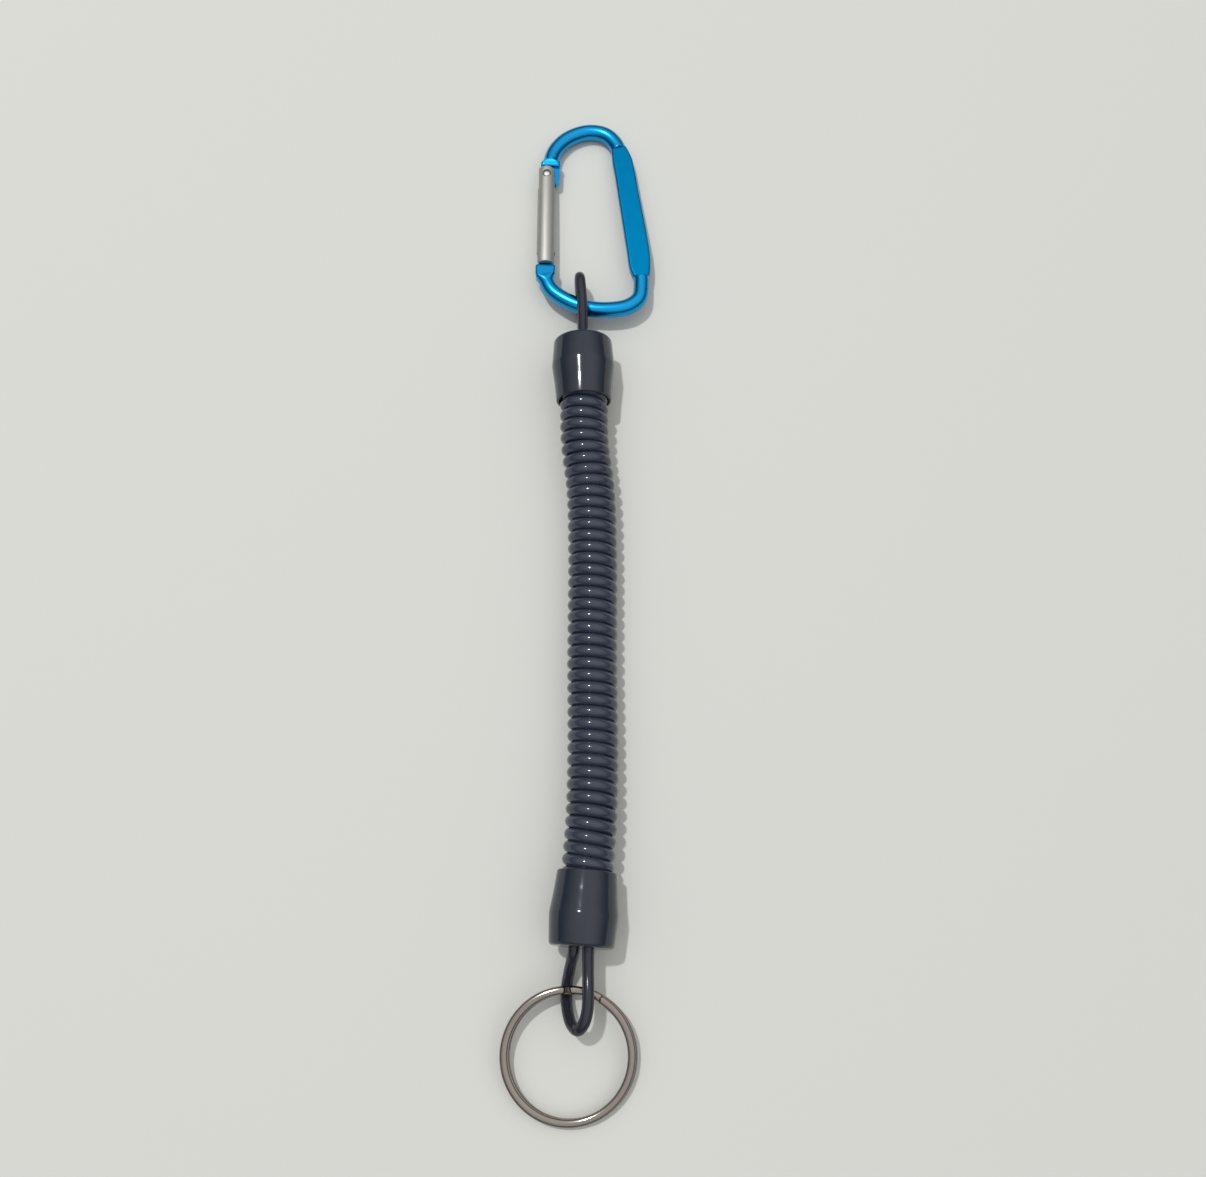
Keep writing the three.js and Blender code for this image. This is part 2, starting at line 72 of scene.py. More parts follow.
Pair = tuple[float, float]
MM = 0.001
HAIR = 0.001 * MM
UP = np.array((0, 0, 1))
LAY_MAP = "lay"
OFF_AXIS = (0.31, 0.17, 0.93)
LEAST_FLAT = 0.02 * MM
BESIDE_CORNER = 0.25 * MM
DRILL_SEGMENTS = 40
CORD_SHARP = 60
METAL_SHARP = 35


class Carve(Enum):
    """How a tool changes the piece it is held to."""

    JOIN = "UNION"
    CUT = "DIFFERENCE"
    KEEP_INSIDE = "INTERSECT"


class Lay(Enum):
    """What a finish's pattern follows: the length of a wire or cord, or the frame the piece stands in."""

    ALONG = "UV"
    FRAME = "Object"


# Routes and sections


def smooth_through(points: np.ndarray, per_span: int) -> np.ndarray:
    """Runs a smooth line through points, with even speed however far apart they are.

    Args:
        points: the points, one per row.
        per_span: how many steps each span gets.

    Returns:
        The line's points, one per row.
    """
    ends = np.vstack([2 * points[0] - points[1], points, 2 * points[-1] - points[-2]])
    share = np.linspace(0, 1, per_span, endpoint=False)[:, None]
    rows = []
    for before, start, end, after in zip(ends, ends[1:], ends[2:], ends[3:]):
        a, b, c = (np.linalg.norm(step) ** 0.5 for step in (start - before, end - start, after - end))
        leave = ((start - before) / a - (end - before) / (a + b) + (end - start) / b) * b
        arrive = ((end - start) / b - (after - start) / (b + c) + (after - end) / c) * b
        square = 3 * (end - start) - 2 * leave - arrive
        cube = 2 * (start - end) + leave + arrive
        rows.append(start + leave * share + square * share**2 + cube * share**3)
    return np.vstack([*rows, points[-1]])


def unit(vectors: np.ndarray) -> np.ndarray:
    """Scales each row to length 1."""
    return vectors / np.linalg.norm(vectors, axis=-1, keepdims=True)


class Route:
    """A smooth line measured by the distance along it."""

    FINE_STEPS = 2000

    def __init__(self, points: np.ndarray, per_span: int = 80) -> None:
        """Makes the line.

        Args:
            points: the points that it passes through.
            per_span: how many steps each span gets.
        """
        self.line = smooth_through(np.asarray(points, float), per_span)
        steps = np.linalg.norm(np.diff(self.line, axis=0), axis=1)
        self.travelled = np.concatenate([[0.0], np.cumsum(steps)])
        self.length = float(self.travelled[-1])

    def at(self, along: np.ndarray) -> np.ndarray:
        """Gives the points at these distances."""
        return np.stack([np.interp(along, self.travelled, self.line[:, k]) for k in range(3)], axis=1)

    def heading(self, along: np.ndarray) -> np.ndarray:
        """Gives the direction of travel at these distances."""
        step = self.length / self.FINE_STEPS
        return unit(self.at(np.minimum(along + step, self.length)) - self.at(np.maximum(along - step, 0)))

    def nearest(self, point: Pair) -> float:
        """Gives the distance at which the line passes nearest to a point of its plane."""
        return float(self.travelled[np.linalg.norm(self.line[:, :2] - point, axis=1).argmin()])


def travel(points: np.ndarray) -> np.ndarray:
    """Gives the distance along a row of points at each of them."""
    return np.concatenate([[0.0], np.cumsum(np.linalg.norm(np.diff(points, axis=0), axis=1))])


def carried_sides(centres: np.ndarray) -> tuple[np.ndarray, np.ndarray]:
    """Finds two directions across a line that turn with it and don't twist.

    Args:
        centres: the line's points.

    Returns:
        The two directions at each point.
    """
    ahead = unit(np.gradient(centres, axis=0))
    side = np.cross(ahead[0], OFF_AXIS)
    firsts = []
    for direction in ahead:
        side = side - direction * (side @ direction)
        side = side / np.linalg.norm(side)
        firsts.append(side)
    first = np.array(firsts)
    return first, np.cross(ahead, first)


def round_section(radius: float, sides: int) -> np.ndarray:
    """Gives a circle's points as pairs."""
    angle = np.linspace(0, 2 * np.pi, sides, endpoint=False)
    return radius * np.stack([np.cos(angle), np.sin(angle)], axis=1)


def soft_box_section(half_width: float, half_height: float, corner: float, steps: int) -> np.ndarray:
    """Gives a rectangle's outline with round corners, and extra points beside them that keep its faces flat.

    Args:
        half_width: half its width.
        half_height: half its height.
        corner: the radius of its corners.
        steps: how many steps each corner has.

    Returns:
        The outline's points as pairs, from the right side round over the top.
    """
    corner = min(corner, half_width - LEAST_FLAT, half_height - LEAST_FLAT)
    flats = 2 * np.array([half_height - corner, half_width - corner])
    rows = []
    for quarter in range(4):
        turn = quarter * np.pi / 2
        sign = np.array([1 if quarter in (0, 3) else -1, 1 if quarter < 2 else -1])
        centre = sign * (half_width - corner, half_height - corner)
        angle = turn + np.linspace(0, np.pi / 2, steps + 1)
        arc = centre + corner * np.stack([np.cos(angle), np.sin(angle)], axis=1)
        beside = min(BESIDE_CORNER, flats[(quarter + 1) % 2] / 3)
        onward = np.array([-np.sin(angle[-1]), np.cos(angle[-1])])
        back = min(BESIDE_CORNER, flats[quarter % 2] / 3)
        inward = -np.array([-np.sin(turn), np.cos(turn)])
        rows += [arc[0] + back * inward, *arc, arc[-1] + beside * onward]
    return np.array(rows)


def oval_section(half_width: float, half_height: float, fullness: float, sides: int) -> np.ndarray:
    """Gives an oval's outline, fuller at its corners than an ellipse where its fullness is above 2.

    Args:
        half_width: half its width.
        half_height: half its height.
        fullness: 2 for an ellipse, more for a squarer oval.
        sides: how many points it has.

    Returns:
        The outline's points as pairs, from the right side round over the top.
    """
    turn = round_section(1, sides)
    return np.sign(turn) * np.abs(turn) ** (2 / fullness) * (half_width, half_height)


def rounded_outline(corners: list[Point], steps: int, closed: bool) -> np.ndarray:
    """Rounds the corners of an outline.

    Args:
        corners: each corner's two coordinates and the radius it is rounded to.
        steps: how many steps a rounded corner gets.
        closed: whether the last corner goes on to the first.

    Returns:
        The outline's points as pairs.
    """
    places = [np.array(corner[:2]) for corner in corners]
    rows = []
    for index, (x, y, radius) in enumerate(corners):
        at_end = not closed and index in (0, len(corners) - 1)
        if radius <= 0 or at_end:
            rows.append((x, y))
            continue
        place = places[index]
        to_last = unit(places[index - 1] - place)
        to_next = unit(places[(index + 1) % len(places)] - place)
        half = math.acos(float(np.clip(to_last @ to_next, -1, 1))) / 2
        reach = radius / math.tan(half)
        start, end = place + to_last * reach, place + to_next * reach
        centre = place + unit(to_last + to_next) * radius / math.sin(half)
        for share in np.linspace(0, 1, steps + 1):
            spoke = (start - centre) * (1 - share) + (end - centre) * share
            rows.append(tuple(centre + unit(spoke) * radius))
    return np.array(rows)


# Meshes


def mesh_piece(name: str, points: np.ndarray, faces: list[tuple[int, ...]]) -> Piece:
    """Makes an object of points and faces.

    Args:
        name: the object's name.
        points: its points, one per row.
        faces: the points of each face.

    Returns:
        The object, in the scene.
    """
    mesh = bpy.data.meshes.new(name)
    mesh.from_pydata(np.asarray(points).tolist(), [], faces)
    mesh.update()
    piece = bpy.data.objects.new(name, mesh)
    bpy.context.scene.collection.objects.link(piece)
    return piece


def skin(name: str, rings: np.ndarray, along: np.ndarray, girth: float) -> Piece:
    """Stretches a closed skin over a row of rings, with a map of how far along and round each point is.

    Args:
        name: the object's name.
        rings: the points of each ring, as rings by sides by 3.
        along: each ring's distance along the piece.
        girth: the distance once round.

    Returns:
        The object.
    """
    count, sides = rings.shape[:2]
    faces, lays = [], []
    around = np.linspace(0, girth, sides + 1)
    for ring in range(count - 1):
        here, there = ring * sides, (ring + 1) * sides
        for side in range(sides):
            after = (side + 1) % sides
            faces.append((here + side, here + after, there + after, there + side))
            low, high = along[ring], along[ring + 1]
            left, right = around[side], around[side + 1]
            lays += [(low, left), (low, right), (high, right), (high, left)]
    faces.append(tuple(range(sides))[::-1])
    faces.append(tuple(range((count - 1) * sides, count * sides)))
    lays += [(along[0], around[side]) for side in range(sides)][::-1]
    lays += [(along[-1], around[side]) for side in range(sides)]
    piece = mesh_piece(name, rings.reshape(-1, 3), faces)
    piece.data.uv_layers.new(name=LAY_MAP).data.foreach_set("uv", np.array(lays, np.float32).ravel())
    return piece


def tube(name: str, centres: np.ndarray, outward: np.ndarray | None, radius: float, sides: int) -> Piece:
    """Makes a round tube along a line.

    Args:
        name: the object's name.
        centres: the line's points.
        outward: a direction across the line at each point, or None to carry one along without twist.
        radius: the tube's radius.
        sides: how many sides it has.

    Returns:
        The object, with one ring of points at each centre.
    """
    if outward is None:
        first, second = carried_sides(centres)
    else:
        ahead = unit(np.gradient(centres, axis=0))
        first = unit(outward - ahead * np.sum(outward * ahead, axis=1, keepdims=True))
        second = np.cross(ahead, first)
    section = round_section(radius, sides)
    rings = centres[:, None] + first[:, None] * section[:, :1] + second[:, None] * section[:, 1:]
    return skin(name, rings, travel(centres), 2 * np.pi * radius)


def lathe(name: str, profile: np.ndarray, segments: int) -> Piece:
    """Turns an outline about the Y axis.

    Args:
        name: the object's name.
        profile: pairs of radius and distance along Y, from one end of the axis to the other.
        segments: how many segments go round.

    Returns:
        The object.
    """
    angle = np.linspace(0, 2 * np.pi, segments, endpoint=False)
    rings = profile[1:-1]
    points = [(0, profile[0][1], 0)]
    for radius, along in rings:
        points += [(radius * math.cos(a), along, radius * math.sin(a)) for a in angle]
    points.append((0, profile[-1][1], 0))
    faces = []
    for side in range(segments):
        after = (side + 1) % segments
        faces.append((0, 1 + after, 1 + side))
        for ring in range(len(rings) - 1):
            here, there = 1 + ring * segments, 1 + (ring + 1) * segments
            faces.append((here + side, here + after, there + after, there + side))
        last = 1 + (len(rings) - 1) * segments
        faces.append((last + side, last + after, len(points) - 1))
    piece = mesh_piece(name, np.array(points), faces)
    face_outward(piece)
    return piece


def plate(name: str, outline: np.ndarray, thickness: float) -> Piece:
    """Makes a flat plate of an outline in X and Y, with its middle at height 0.

    Args:
        name: the object's name.
        outline: the outline's points as pairs.
        thickness: the plate's thickness.

    Returns:
        The object.
    """
    count = len(outline)
    levels = [np.column_stack([outline, np.full(count, z)]) for z in (-thickness / 2, thickness / 2)]
    faces = [tuple(range(count))[::-1], tuple(range(count, 2 * count))]
    for side in range(count):
        after = (side + 1) % count
        faces.append((side, after, count + after, count + side))
    piece = mesh_piece(name, np.vstack(levels), faces)
    face_outward(piece)
    return piece


def face_outward(piece: Piece) -> None:
    """Turns every face of a closed piece to the outside.

    Args:
        piece: the piece.
    """
    work = bmesh.new()
    work.from_mesh(piece.data)
    bmesh.ops.recalc_face_normals(work, faces=work.faces)
    work.to_mesh(piece.data)
    work.free()


def settle(piece: Piece) -> None:
    """Makes a piece's modifiers part of its mesh.

    Args:
        piece: the piece.
    """
    graph = bpy.context.evaluated_depsgraph_get()
    made = bpy.data.meshes.new_from_object(piece.evaluated_get(graph))
    piece.modifiers.clear()
    worn = piece.data
    piece.data = made
    bpy.data.meshes.remove(worn)


def carve(piece: Piece, tool: Piece, way: Carve) -> None:
    """Joins a tool to a piece, cuts it away, or keeps what is inside it, and takes the tool off.

    Args:
        piece: the piece that changes.
        tool: the solid held to it.
        way: what the tool does.
    """
    change = piece.modifiers.new("carve", "BOOLEAN")
    change.operation = way.value
    change.solver = "EXACT"
    change.object = tool
    settle(piece)
    bpy.data.objects.remove(tool)


def shade(piece: Piece, sharp: float = 40) -> None:
    """Shades a piece smooth, except over edges sharper than an angle in degrees."""
    piece.data.shade_smooth()
    piece.data.set_sharp_from_angle(angle=math.radians(sharp))


def along_y(radius: float, low: float, high: float, place: Pair) -> Piece:
    """Makes a round drill along Y.

    Args:
        radius: its radius.
        low: where it starts along Y.
        high: where it ends.
        place: its X and Z.

    Returns:
        The drill.
    """
    profile = np.array([(0, low), (radius, low), (radius, high), (0, high)])
    drill = lathe("drill", profile, DRILL_SEGMENTS)
    drill.data.transform(Matrix.Translation((place[0], 0, place[1])))
    return drill


def along_z(radius: float, length: float, place: Pair) -> Piece:
    """Makes a round drill along Z, centred on height 0.

    Args:
        radius: its radius.
        length: its length.
        place: its X and Y.

    Returns:
        The drill.
    """
    drill = along_y(radius, -length / 2, length / 2, (0, 0))
    drill.data.transform(Matrix.Translation((*place, 0)) @ Matrix.Rotation(math.pi / 2, 4, "X"))
    return drill


def block(x: Pair, y: Pair, z: Pair) -> Piece:
    """Makes a square cutter between two limits on each axis.

    Args:
        x: its limits on X.
        y: its limits on Y.
        z: its limits on Z.

    Returns:
        The cutter.
    """
    outline = np.array([(x[0], y[0]), (x[1], y[0]), (x[1], y[1]), (x[0], y[1])])
    cutter = plate("cutter", outline, z[1] - z[0])
    cutter.data.transform(Matrix.Translation((0, 0, (z[0] + z[1]) / 2)))
    return cutter


def stand_for(piece: Piece, material: Material, node: str) -> None:
    """Gives a piece its finish and hides the solid it stands for.

    Args:
        piece: the piece.
        material: its finish, unless it has its own already.
        node: the solid it stands for.
    """
    if not piece.data.materials:
        piece.data.materials.append(material)
    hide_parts(node)


def put_on(piece: Piece, material: Material, body: str, node: str) -> None:
    """Dresses a stiff piece and hangs it on its body.

    Args:
        piece: the piece.
        material: its finish.
        body: the body it moves with.
        node: the solid it stands for.
    """
    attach(piece, body)
    stand_for(piece, material, node)
    log.info("%s rides on %s and has %d faces", piece.name, body, len(piece.data.polygons))


def bend_between(
    piece: Piece,
    bodies: tuple[str, str],
    ends: tuple[np.ndarray, np.ndarray],
    shares: np.ndarray | None,
    sides: int,
) -> None:
    """Lets a cord follow two bodies, all the points of one ring alike.

    Args:
        piece: the cord, a tube with a fixed number of points in each ring.
        bodies: the body at its start and the one at its end.
        ends: where it leaves the first body and reaches the second.
        shares: each ring's share of the second body's motion, or None to find it from its place.
        sides: how many points a ring has.
    """
    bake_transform(piece, *bodies, start=tuple(ends[0]), end=tuple(ends[1]))
    weights = piece.data.attributes["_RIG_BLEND"].data
    if shares is None:
        found = np.zeros(len(piece.data.vertices), np.float32)
        weights.foreach_get("value", found)
        shares = found.reshape(-1, sides).mean(axis=1)
    weights.foreach_set("value", np.repeat(shares, sides).astype(np.float32))


# Shader nodes


class Graph:
    """Places and joins shader nodes in one tree."""

    MIX_SHARE, MIX_FIRST, MIX_SECOND, MIXED = 0, 6, 7, 2
    NOISE_ROUGHNESS = 0.55

    def __init__(self, tree: Tree) -> None:
        """Takes the tree to work in."""
        self.tree = tree

    def add(self, kind: str, sockets: dict[Any, Any] | None = None, **settings: Any) -> Node:
        """Places a node.

        Args:
            kind: the node's type.
            sockets: what goes into its inputs, a value or another node's output.
            **settings: its own settings.

        Returns:
            The node.
        """
        node = self.tree.nodes.new(kind)
        for name, value in settings.items():
            setattr(node, name, value)
        for key, value in (sockets or {}).items():
            if isinstance(value, Socket):
                self.join(value, node, key)
            else:
                node.inputs[key].default_value = value
        return node

    def join(self, output: Socket, node: Node, key: Any) -> None:
        """Joins an output to a node's input."""
        self.tree.links.new(output, node.inputs[key])

    def effect(self, group: Tree, **inputs: Any) -> Any:
        """Places a shared effect with its own values, and gives its outputs."""
        return self.add("ShaderNodeGroup", inputs, node_tree=group).outputs

    def vector(self, operation: str, first: Any, second: Any, answer: Any = 0) -> Socket:
        """Works out a vector, or the answer of that name, from two vectors."""
        return self.add("ShaderNodeVectorMath", {0: first, 1: second}, operation=operation).outputs[answer]

    def sum(self, operation: str, first: Any, second: Any, clamp: bool = False) -> Socket:
        """Works out one number from two.

        Args:
            operation: what is done with them.
            first: a value or an output.
            second: a value or an output.
            clamp: whether the answer is kept from 0 to 1.

        Returns:
            The answer.
        """
        node = self.add("ShaderNodeMath", {0: first, 1: second}, operation=operation, use_clamp=clamp)
        return node.outputs[0]

    def plus(self, base: Any, extra: Any, share: float, clamp: bool = False) -> Socket:
        """Adds a share of one value to another."""
        return self.sum("ADD", base, self.sum("MULTIPLY", extra, share), clamp)

    def spread(self, value: Any, low: float, high: float, to_low: float = 0, to_high: float = 1) -> Socket:
        """Carries a value from one span to another.

        Args:
            value: an output.
            low: the start of its span.
            high: the end of its span.
            to_low: what the start becomes.
            to_high: what the end becomes.

        Returns:
            The new value.
        """
        sockets = {"Value": value, "From Min": low, "From Max": high, "To Min": to_low, "To Max": to_high}
        return self.add("ShaderNodeMapRange", sockets).outputs["Result"]

    def mix(self, share: Any, first: Any, second: Any) -> Socket:
        """Mixes two colours.

        Args:
            share: how much of the second shows.
            first: a colour or an output.
            second: a colour or an output.

        Returns:
            The mixed colour.
        """
        sockets = {self.MIX_SHARE: share, self.MIX_FIRST: first, self.MIX_SECOND: second}
        return self.add("ShaderNodeMix", sockets, data_type="RGBA").outputs[self.MIXED]

    def noise(self, place: Any, scale: float, detail: float) -> Socket:
        """Gives a soft random value over the surface.

        Args:
            place: the coordinates.
            scale: how many swells there are in a unit of them.
            detail: how many finer layers it has.

        Returns:
            The value, about 0.5 on average.
        """
        sockets = {"Vector": place, "Scale": scale, "Detail": detail, "Roughness": self.NOISE_ROUGHNESS}
        return self.add("ShaderNodeTexNoise", sockets).outputs["Fac"]


class SurfaceEffects:
    """The effects that several finishes share, each a node group that is built once.

    A noise is a scale and a detail. A span is the part of a value that is carried to 0 and 1.
    """

    LINE_NOISES = {"Lines": (1.0, 3.0), "Bands": (0.22, 2.0)}
    LINE_SPAN = (0.3, 0.7)
    SCRATCH_TURNS = ((0.4, 0.0), (1.5, 3.1), (2.4, 7.7))
    SCRATCH_AXIS = (0.3, 0.2, 0.9)
    SCRATCH_STRETCH = (0.06, 1.0, 1.0)
    SCRATCH_SPAN = (0.03, 0.0)
    PATCH_NOISE = (400.0, 2.0)
    PATCH_SPAN = (0.5, 0.62)
    BEVEL_SAMPLES = 6
    EDGE_SPAN = (0.995, 0.93)
    RUBBED_NOISE = (900.0, 4.0)
    RUBBED_SPAN = (0.38, 0.62)
    UPWARD_SPAN = (-0.1, 0.9)
    FILM_NOISE = (350.0, 3.0)
    FILM_SPAN = (0.35, 0.75)
    FILM_SHARE = 0.5
    SPECK_NOISE = (5200.0, 1.0)
    SPECK_SPAN = (0.66, 0.74)
    MOULD_NOISES = {"Grain": (3800.0, 3.0), "Swells": (420.0, 2.0)}

    def __init__(self) -> None:
        """Builds the groups."""
        self.drawn_lines = self._drawn_lines()
        self.hair_scratches = self._hair_scratches()
        self.worn_edges = self._worn_edges()
        self.settled_dust = self._settled_dust()
        self.mould_grain = self._mould_grain()

    @staticmethod
    def _start(name: str, inputs: dict[str, float], outputs: tuple[str, ...]) -> tuple[Graph, Any, Node]:
        """Starts a group that takes coordinates and some numbers.

        Args:
            name: the group's name.
            inputs: each number's name and usual value.
            outputs: the names of its output values.

        Returns:
            The group's graph, what it is given and its output node.
        """
        tree = bpy.data.node_groups.new(name, "ShaderNodeTree")
        tree.interface.new_socket("Place", in_out="INPUT", socket_type="NodeSocketVector")
        for label, value in inputs.items():
            socket = tree.interface.new_socket(label, in_out="INPUT", socket_type="NodeSocketFloat")
            socket.default_value = value
        for label in outputs:
            tree.interface.new_socket(label, in_out="OUTPUT", socket_type="NodeSocketFloat")
        graph = Graph(tree)
        return graph, graph.add("NodeGroupInput").outputs, graph.add("NodeGroupOutput")

    def _drawn_lines(self) -> Tree:
        """Makes the fine lines that drawing or turning leaves on metal.

        Returns:
            The group: the coordinates it takes are scaled so that lines run where they change slowest.
        """
        graph, given, out = self._start("drawn_lines", {}, ("Lines", "Bands"))
        for name, noise in self.LINE_NOISES.items():
            graph.join(graph.spread(graph.noise(given["Place"], *noise), *self.LINE_SPAN), out, name)
        return graph.tree

    def _hair_scratches(self) -> Tree:
        """Makes thin crossing scratches from handling.

        Returns:
            The group: its output is 1 along a scratch.
        """
        graph, given, out = self._start("hair_scratches", {"Scale": 300.0, "Amount": 0.5}, ("Scratches",))
        found: Any = 0.0
        for turn, shift in self.SCRATCH_TURNS:
            sockets = {"Vector": given["Place"], "Axis": self.SCRATCH_AXIS, "Angle": turn}
            turned = graph.add("ShaderNodeVectorRotate", sockets).outputs[0]
            moved = graph.vector("ADD", turned, (shift,) * 3)
            long = graph.vector("MULTIPLY", moved, self.SCRATCH_STRETCH)
            sockets = {"Vector": long, "Scale": given["Scale"], "Randomness": 1.0}
            cell = graph.add("ShaderNodeTexVoronoi", sockets, feature="DISTANCE_TO_EDGE").outputs["Distance"]
            line = graph.spread(cell, *self.SCRATCH_SPAN)
            patch = graph.spread(graph.noise(moved, *self.PATCH_NOISE), *self.PATCH_SPAN)
            found = graph.sum("MAXIMUM", graph.sum("MULTIPLY", line, patch), found)
        graph.join(graph.sum("MULTIPLY", found, given["Amount"]), out, "Scratches")
        return graph.tree

    def _worn_edges(self) -> Tree:
        """Finds the edges where a finish is rubbed thin.

        Returns:
            The group: its output is 1 on a worn edge.
        """
        graph, given, out = self._start("worn_edges", {"Width": 0.2 * MM, "Amount": 1.0}, ("Wear",))
        bevel = graph.add("ShaderNodeBevel", {"Radius": given["Width"]}, samples=self.BEVEL_SAMPLES)
        true = graph.add("ShaderNodeNewGeometry").outputs["Normal"]
        same = graph.vector("DOT_PRODUCT", bevel.outputs[0], true, "Value")
        edge = graph.spread(same, *self.EDGE_SPAN)
        rubbed = graph.spread(graph.noise(given["Place"], *self.RUBBED_NOISE), *self.RUBBED_SPAN)
        wear = graph.sum("MULTIPLY", graph.sum("MULTIPLY", edge, rubbed), given["Amount"], clamp=True)
        graph.join(wear, out, "Wear")
        return graph.tree

    def _settled_dust(self) -> Tree:
        """Makes the thin dust that lies on what faces up.

        Returns:
            The group: its output is the dust's share of the surface.
        """
        graph, given, out = self._start("settled_dust", {"Amount": 0.1}, ("Dust",))
        normal = graph.add("ShaderNodeTexCoord").outputs["Normal"]
        height = graph.add("ShaderNodeSeparateXYZ", {0: normal}).outputs["Z"]
        upward = graph.spread(height, *self.UPWARD_SPAN)
        film = graph.spread(graph.noise(given["Place"], *self.FILM_NOISE), *self.FILM_SPAN)
        specks = graph.spread(graph.noise(given["Place"], *self.SPECK_NOISE), *self.SPECK_SPAN)
        layer = graph.plus(specks, film, self.FILM_SHARE)
        dust = graph.sum("MULTIPLY", graph.sum("MULTIPLY", layer, upward), given["Amount"], clamp=True)
        graph.join(dust, out, "Dust")
        return graph.tree

    def _mould_grain(self) -> Tree:
        """Makes the faint unevenness of moulded or extruded plastic.

        Returns:
            The group: a fine grain and slow swells.
        """
        graph, given, out = self._start("mould_grain", {}, ("Grain", "Swells"))
        for name, noise in self.MOULD_NOISES.items():
            graph.join(graph.noise(given["Place"], *noise), out, name)
        return graph.tree


def place_of(graph: Graph, lay: Lay) -> Socket:
    """Gives the coordinates that a finish's pattern follows.

    Args:
        graph: the finish's graph.
        lay: what the pattern follows.

    Returns:
        The coordinates.
    """
    if lay is Lay.ALONG:
        return graph.add("ShaderNodeUVMap", uv_map=LAY_MAP).outputs[lay.value]
    return graph.add("ShaderNodeTexCoord").outputs[lay.value]


def start_material(name: str) -> tuple[Material, Graph]:
    """Starts a material with an empty graph.

    Args:
        name: the material's name.

    Returns:
        The material and its graph.
    """
    material = bpy.data.materials.new(name)
    material.use_nodes = True
    material.node_tree.nodes.clear()
    return material, Graph(material.node_tree)


def close_material(graph: Graph, look: dict[str, Any]) -> None:
    """Makes a material's shader and joins it to its surface."""
    shader = graph.add("ShaderNodeBsdfPrincipled", look)
    graph.join(shader.outputs[0], graph.add("ShaderNodeOutputMaterial"), "Surface")


@dataclass(frozen=True)
class MetalFinish:
    """Plain or dyed metal with drawn lines, scratches, worn edges and a little dust."""

    name: str
    colour: Colour
    shadow_colour: Colour
    worn_colour: Colour
    roughness: Pair
    lay: Lay
    line_scale: Point
    line_depth: float
    scratches: float
    wear: float
    dust: float
    coat: float = 0.0
    coat_roughness: float = 0.2
    bump: float = 0.35
    scratch_wear: float = 0.5
    scratch_roughness: float = 0.12
    dust_roughness: float = 0.5
    dust_colour: Colour = (0.55, 0.54, 0.52, 1)

    def make(self, effects: SurfaceEffects) -> Material:
        """Makes the material.

        Args:
            effects: the shared node groups.

        Returns:
            The material.
        """
        material, graph = start_material(self.name)
        place = graph.vector("MULTIPLY", place_of(graph, self.lay), self.line_scale)
        solid = place_of(graph, Lay.FRAME)
        lines = graph.effect(effects.drawn_lines, Place=place)
        scratch = graph.effect(effects.hair_scratches, Place=solid, Amount=self.scratches)["Scratches"]
        worn = graph.effect(effects.worn_edges, Place=solid, Amount=self.wear)["Wear"]
        dust = graph.effect(effects.settled_dust, Place=solid, Amount=self.dust)["Dust"]
        rubbed = graph.sum("MAXIMUM", worn, graph.sum("MULTIPLY", scratch, self.scratch_wear))
        tone = graph.mix(lines["Bands"], self.shadow_colour, self.colour)
        tone = graph.mix(rubbed, tone, self.worn_colour)
        rough = graph.spread(lines["Lines"], 0, 1, *self.roughness)
        rough = graph.plus(rough, scratch, self.scratch_roughness)
        height = graph.sum("SUBTRACT", lines["Lines"], scratch)
        bump = {"Strength": self.bump, "Distance": self.line_depth, "Height": height}
        look = {
            "Base Color": graph.mix(dust, tone, self.dust_colour),
            "Roughness": graph.plus(rough, dust, self.dust_roughness, clamp=True),
            "Normal": graph.add("ShaderNodeBump", bump).outputs[0],
            "Metallic": 1.0,
            "Coat Weight": self.coat,
            "Coat Roughness": self.coat_roughness,
        }
        close_material(graph, look)
        return material


@dataclass(frozen=True)
class PolymerFinish:
    """Glossy dark plastic with slow swells, a fine grain, a few scratches and dust."""

    name: str
    colour: Colour
    light_colour: Colour
    roughness: Pair
    lay: Lay
    grain_depth: float
    scratches: float
    dust: float
    ior: float
    swell: float = 4.0
    swell_span: Pair = (0.35, 0.65)
    grain: float = 0.5
    grain_span: Pair = (0.3, 0.7)
    bump: float = 0.5
    scratch_roughness: float = 0.2
    dust_roughness: float = 0.6
    dust_colour: Colour = (0.42, 0.41, 0.4, 1)

    def make(self, effects: SurfaceEffects) -> Material:
        """Makes the material.

        Args:
            effects: the shared node groups.

        Returns:
            The material.
        """
        material, graph = start_material(self.name)
        place = place_of(graph, self.lay)
        mould = graph.effect(effects.mould_grain, Place=place)
        scratch = graph.effect(effects.hair_scratches, Place=place, Amount=self.scratches)["Scratches"]
        dust = graph.effect(effects.settled_dust, Place=place, Amount=self.dust)["Dust"]
        tone = graph.mix(graph.spread(mould["Swells"], *self.swell_span), self.colour, self.light_colour)
        rough = graph.spread(mould["Grain"], *self.grain_span, *self.roughness)
        rough = graph.plus(rough, scratch, self.scratch_roughness)
        height = graph.plus(graph.sum("MULTIPLY", mould["Grain"], self.grain), mould["Swells"], self.swell)
        height = graph.sum("SUBTRACT", height, scratch)
        bump = {"Strength": self.bump, "Distance": self.grain_depth, "Height": height}
        look = {
            "Base Color": graph.mix(dust, tone, self.dust_colour),
            "Roughness": graph.plus(rough, dust, self.dust_roughness, clamp=True),
            "Normal": graph.add("ShaderNodeBump", bump).outputs[0],
            "IOR": self.ior,
        }
        close_material(graph, look)
        return material


# The lanyard's sub-assemblies


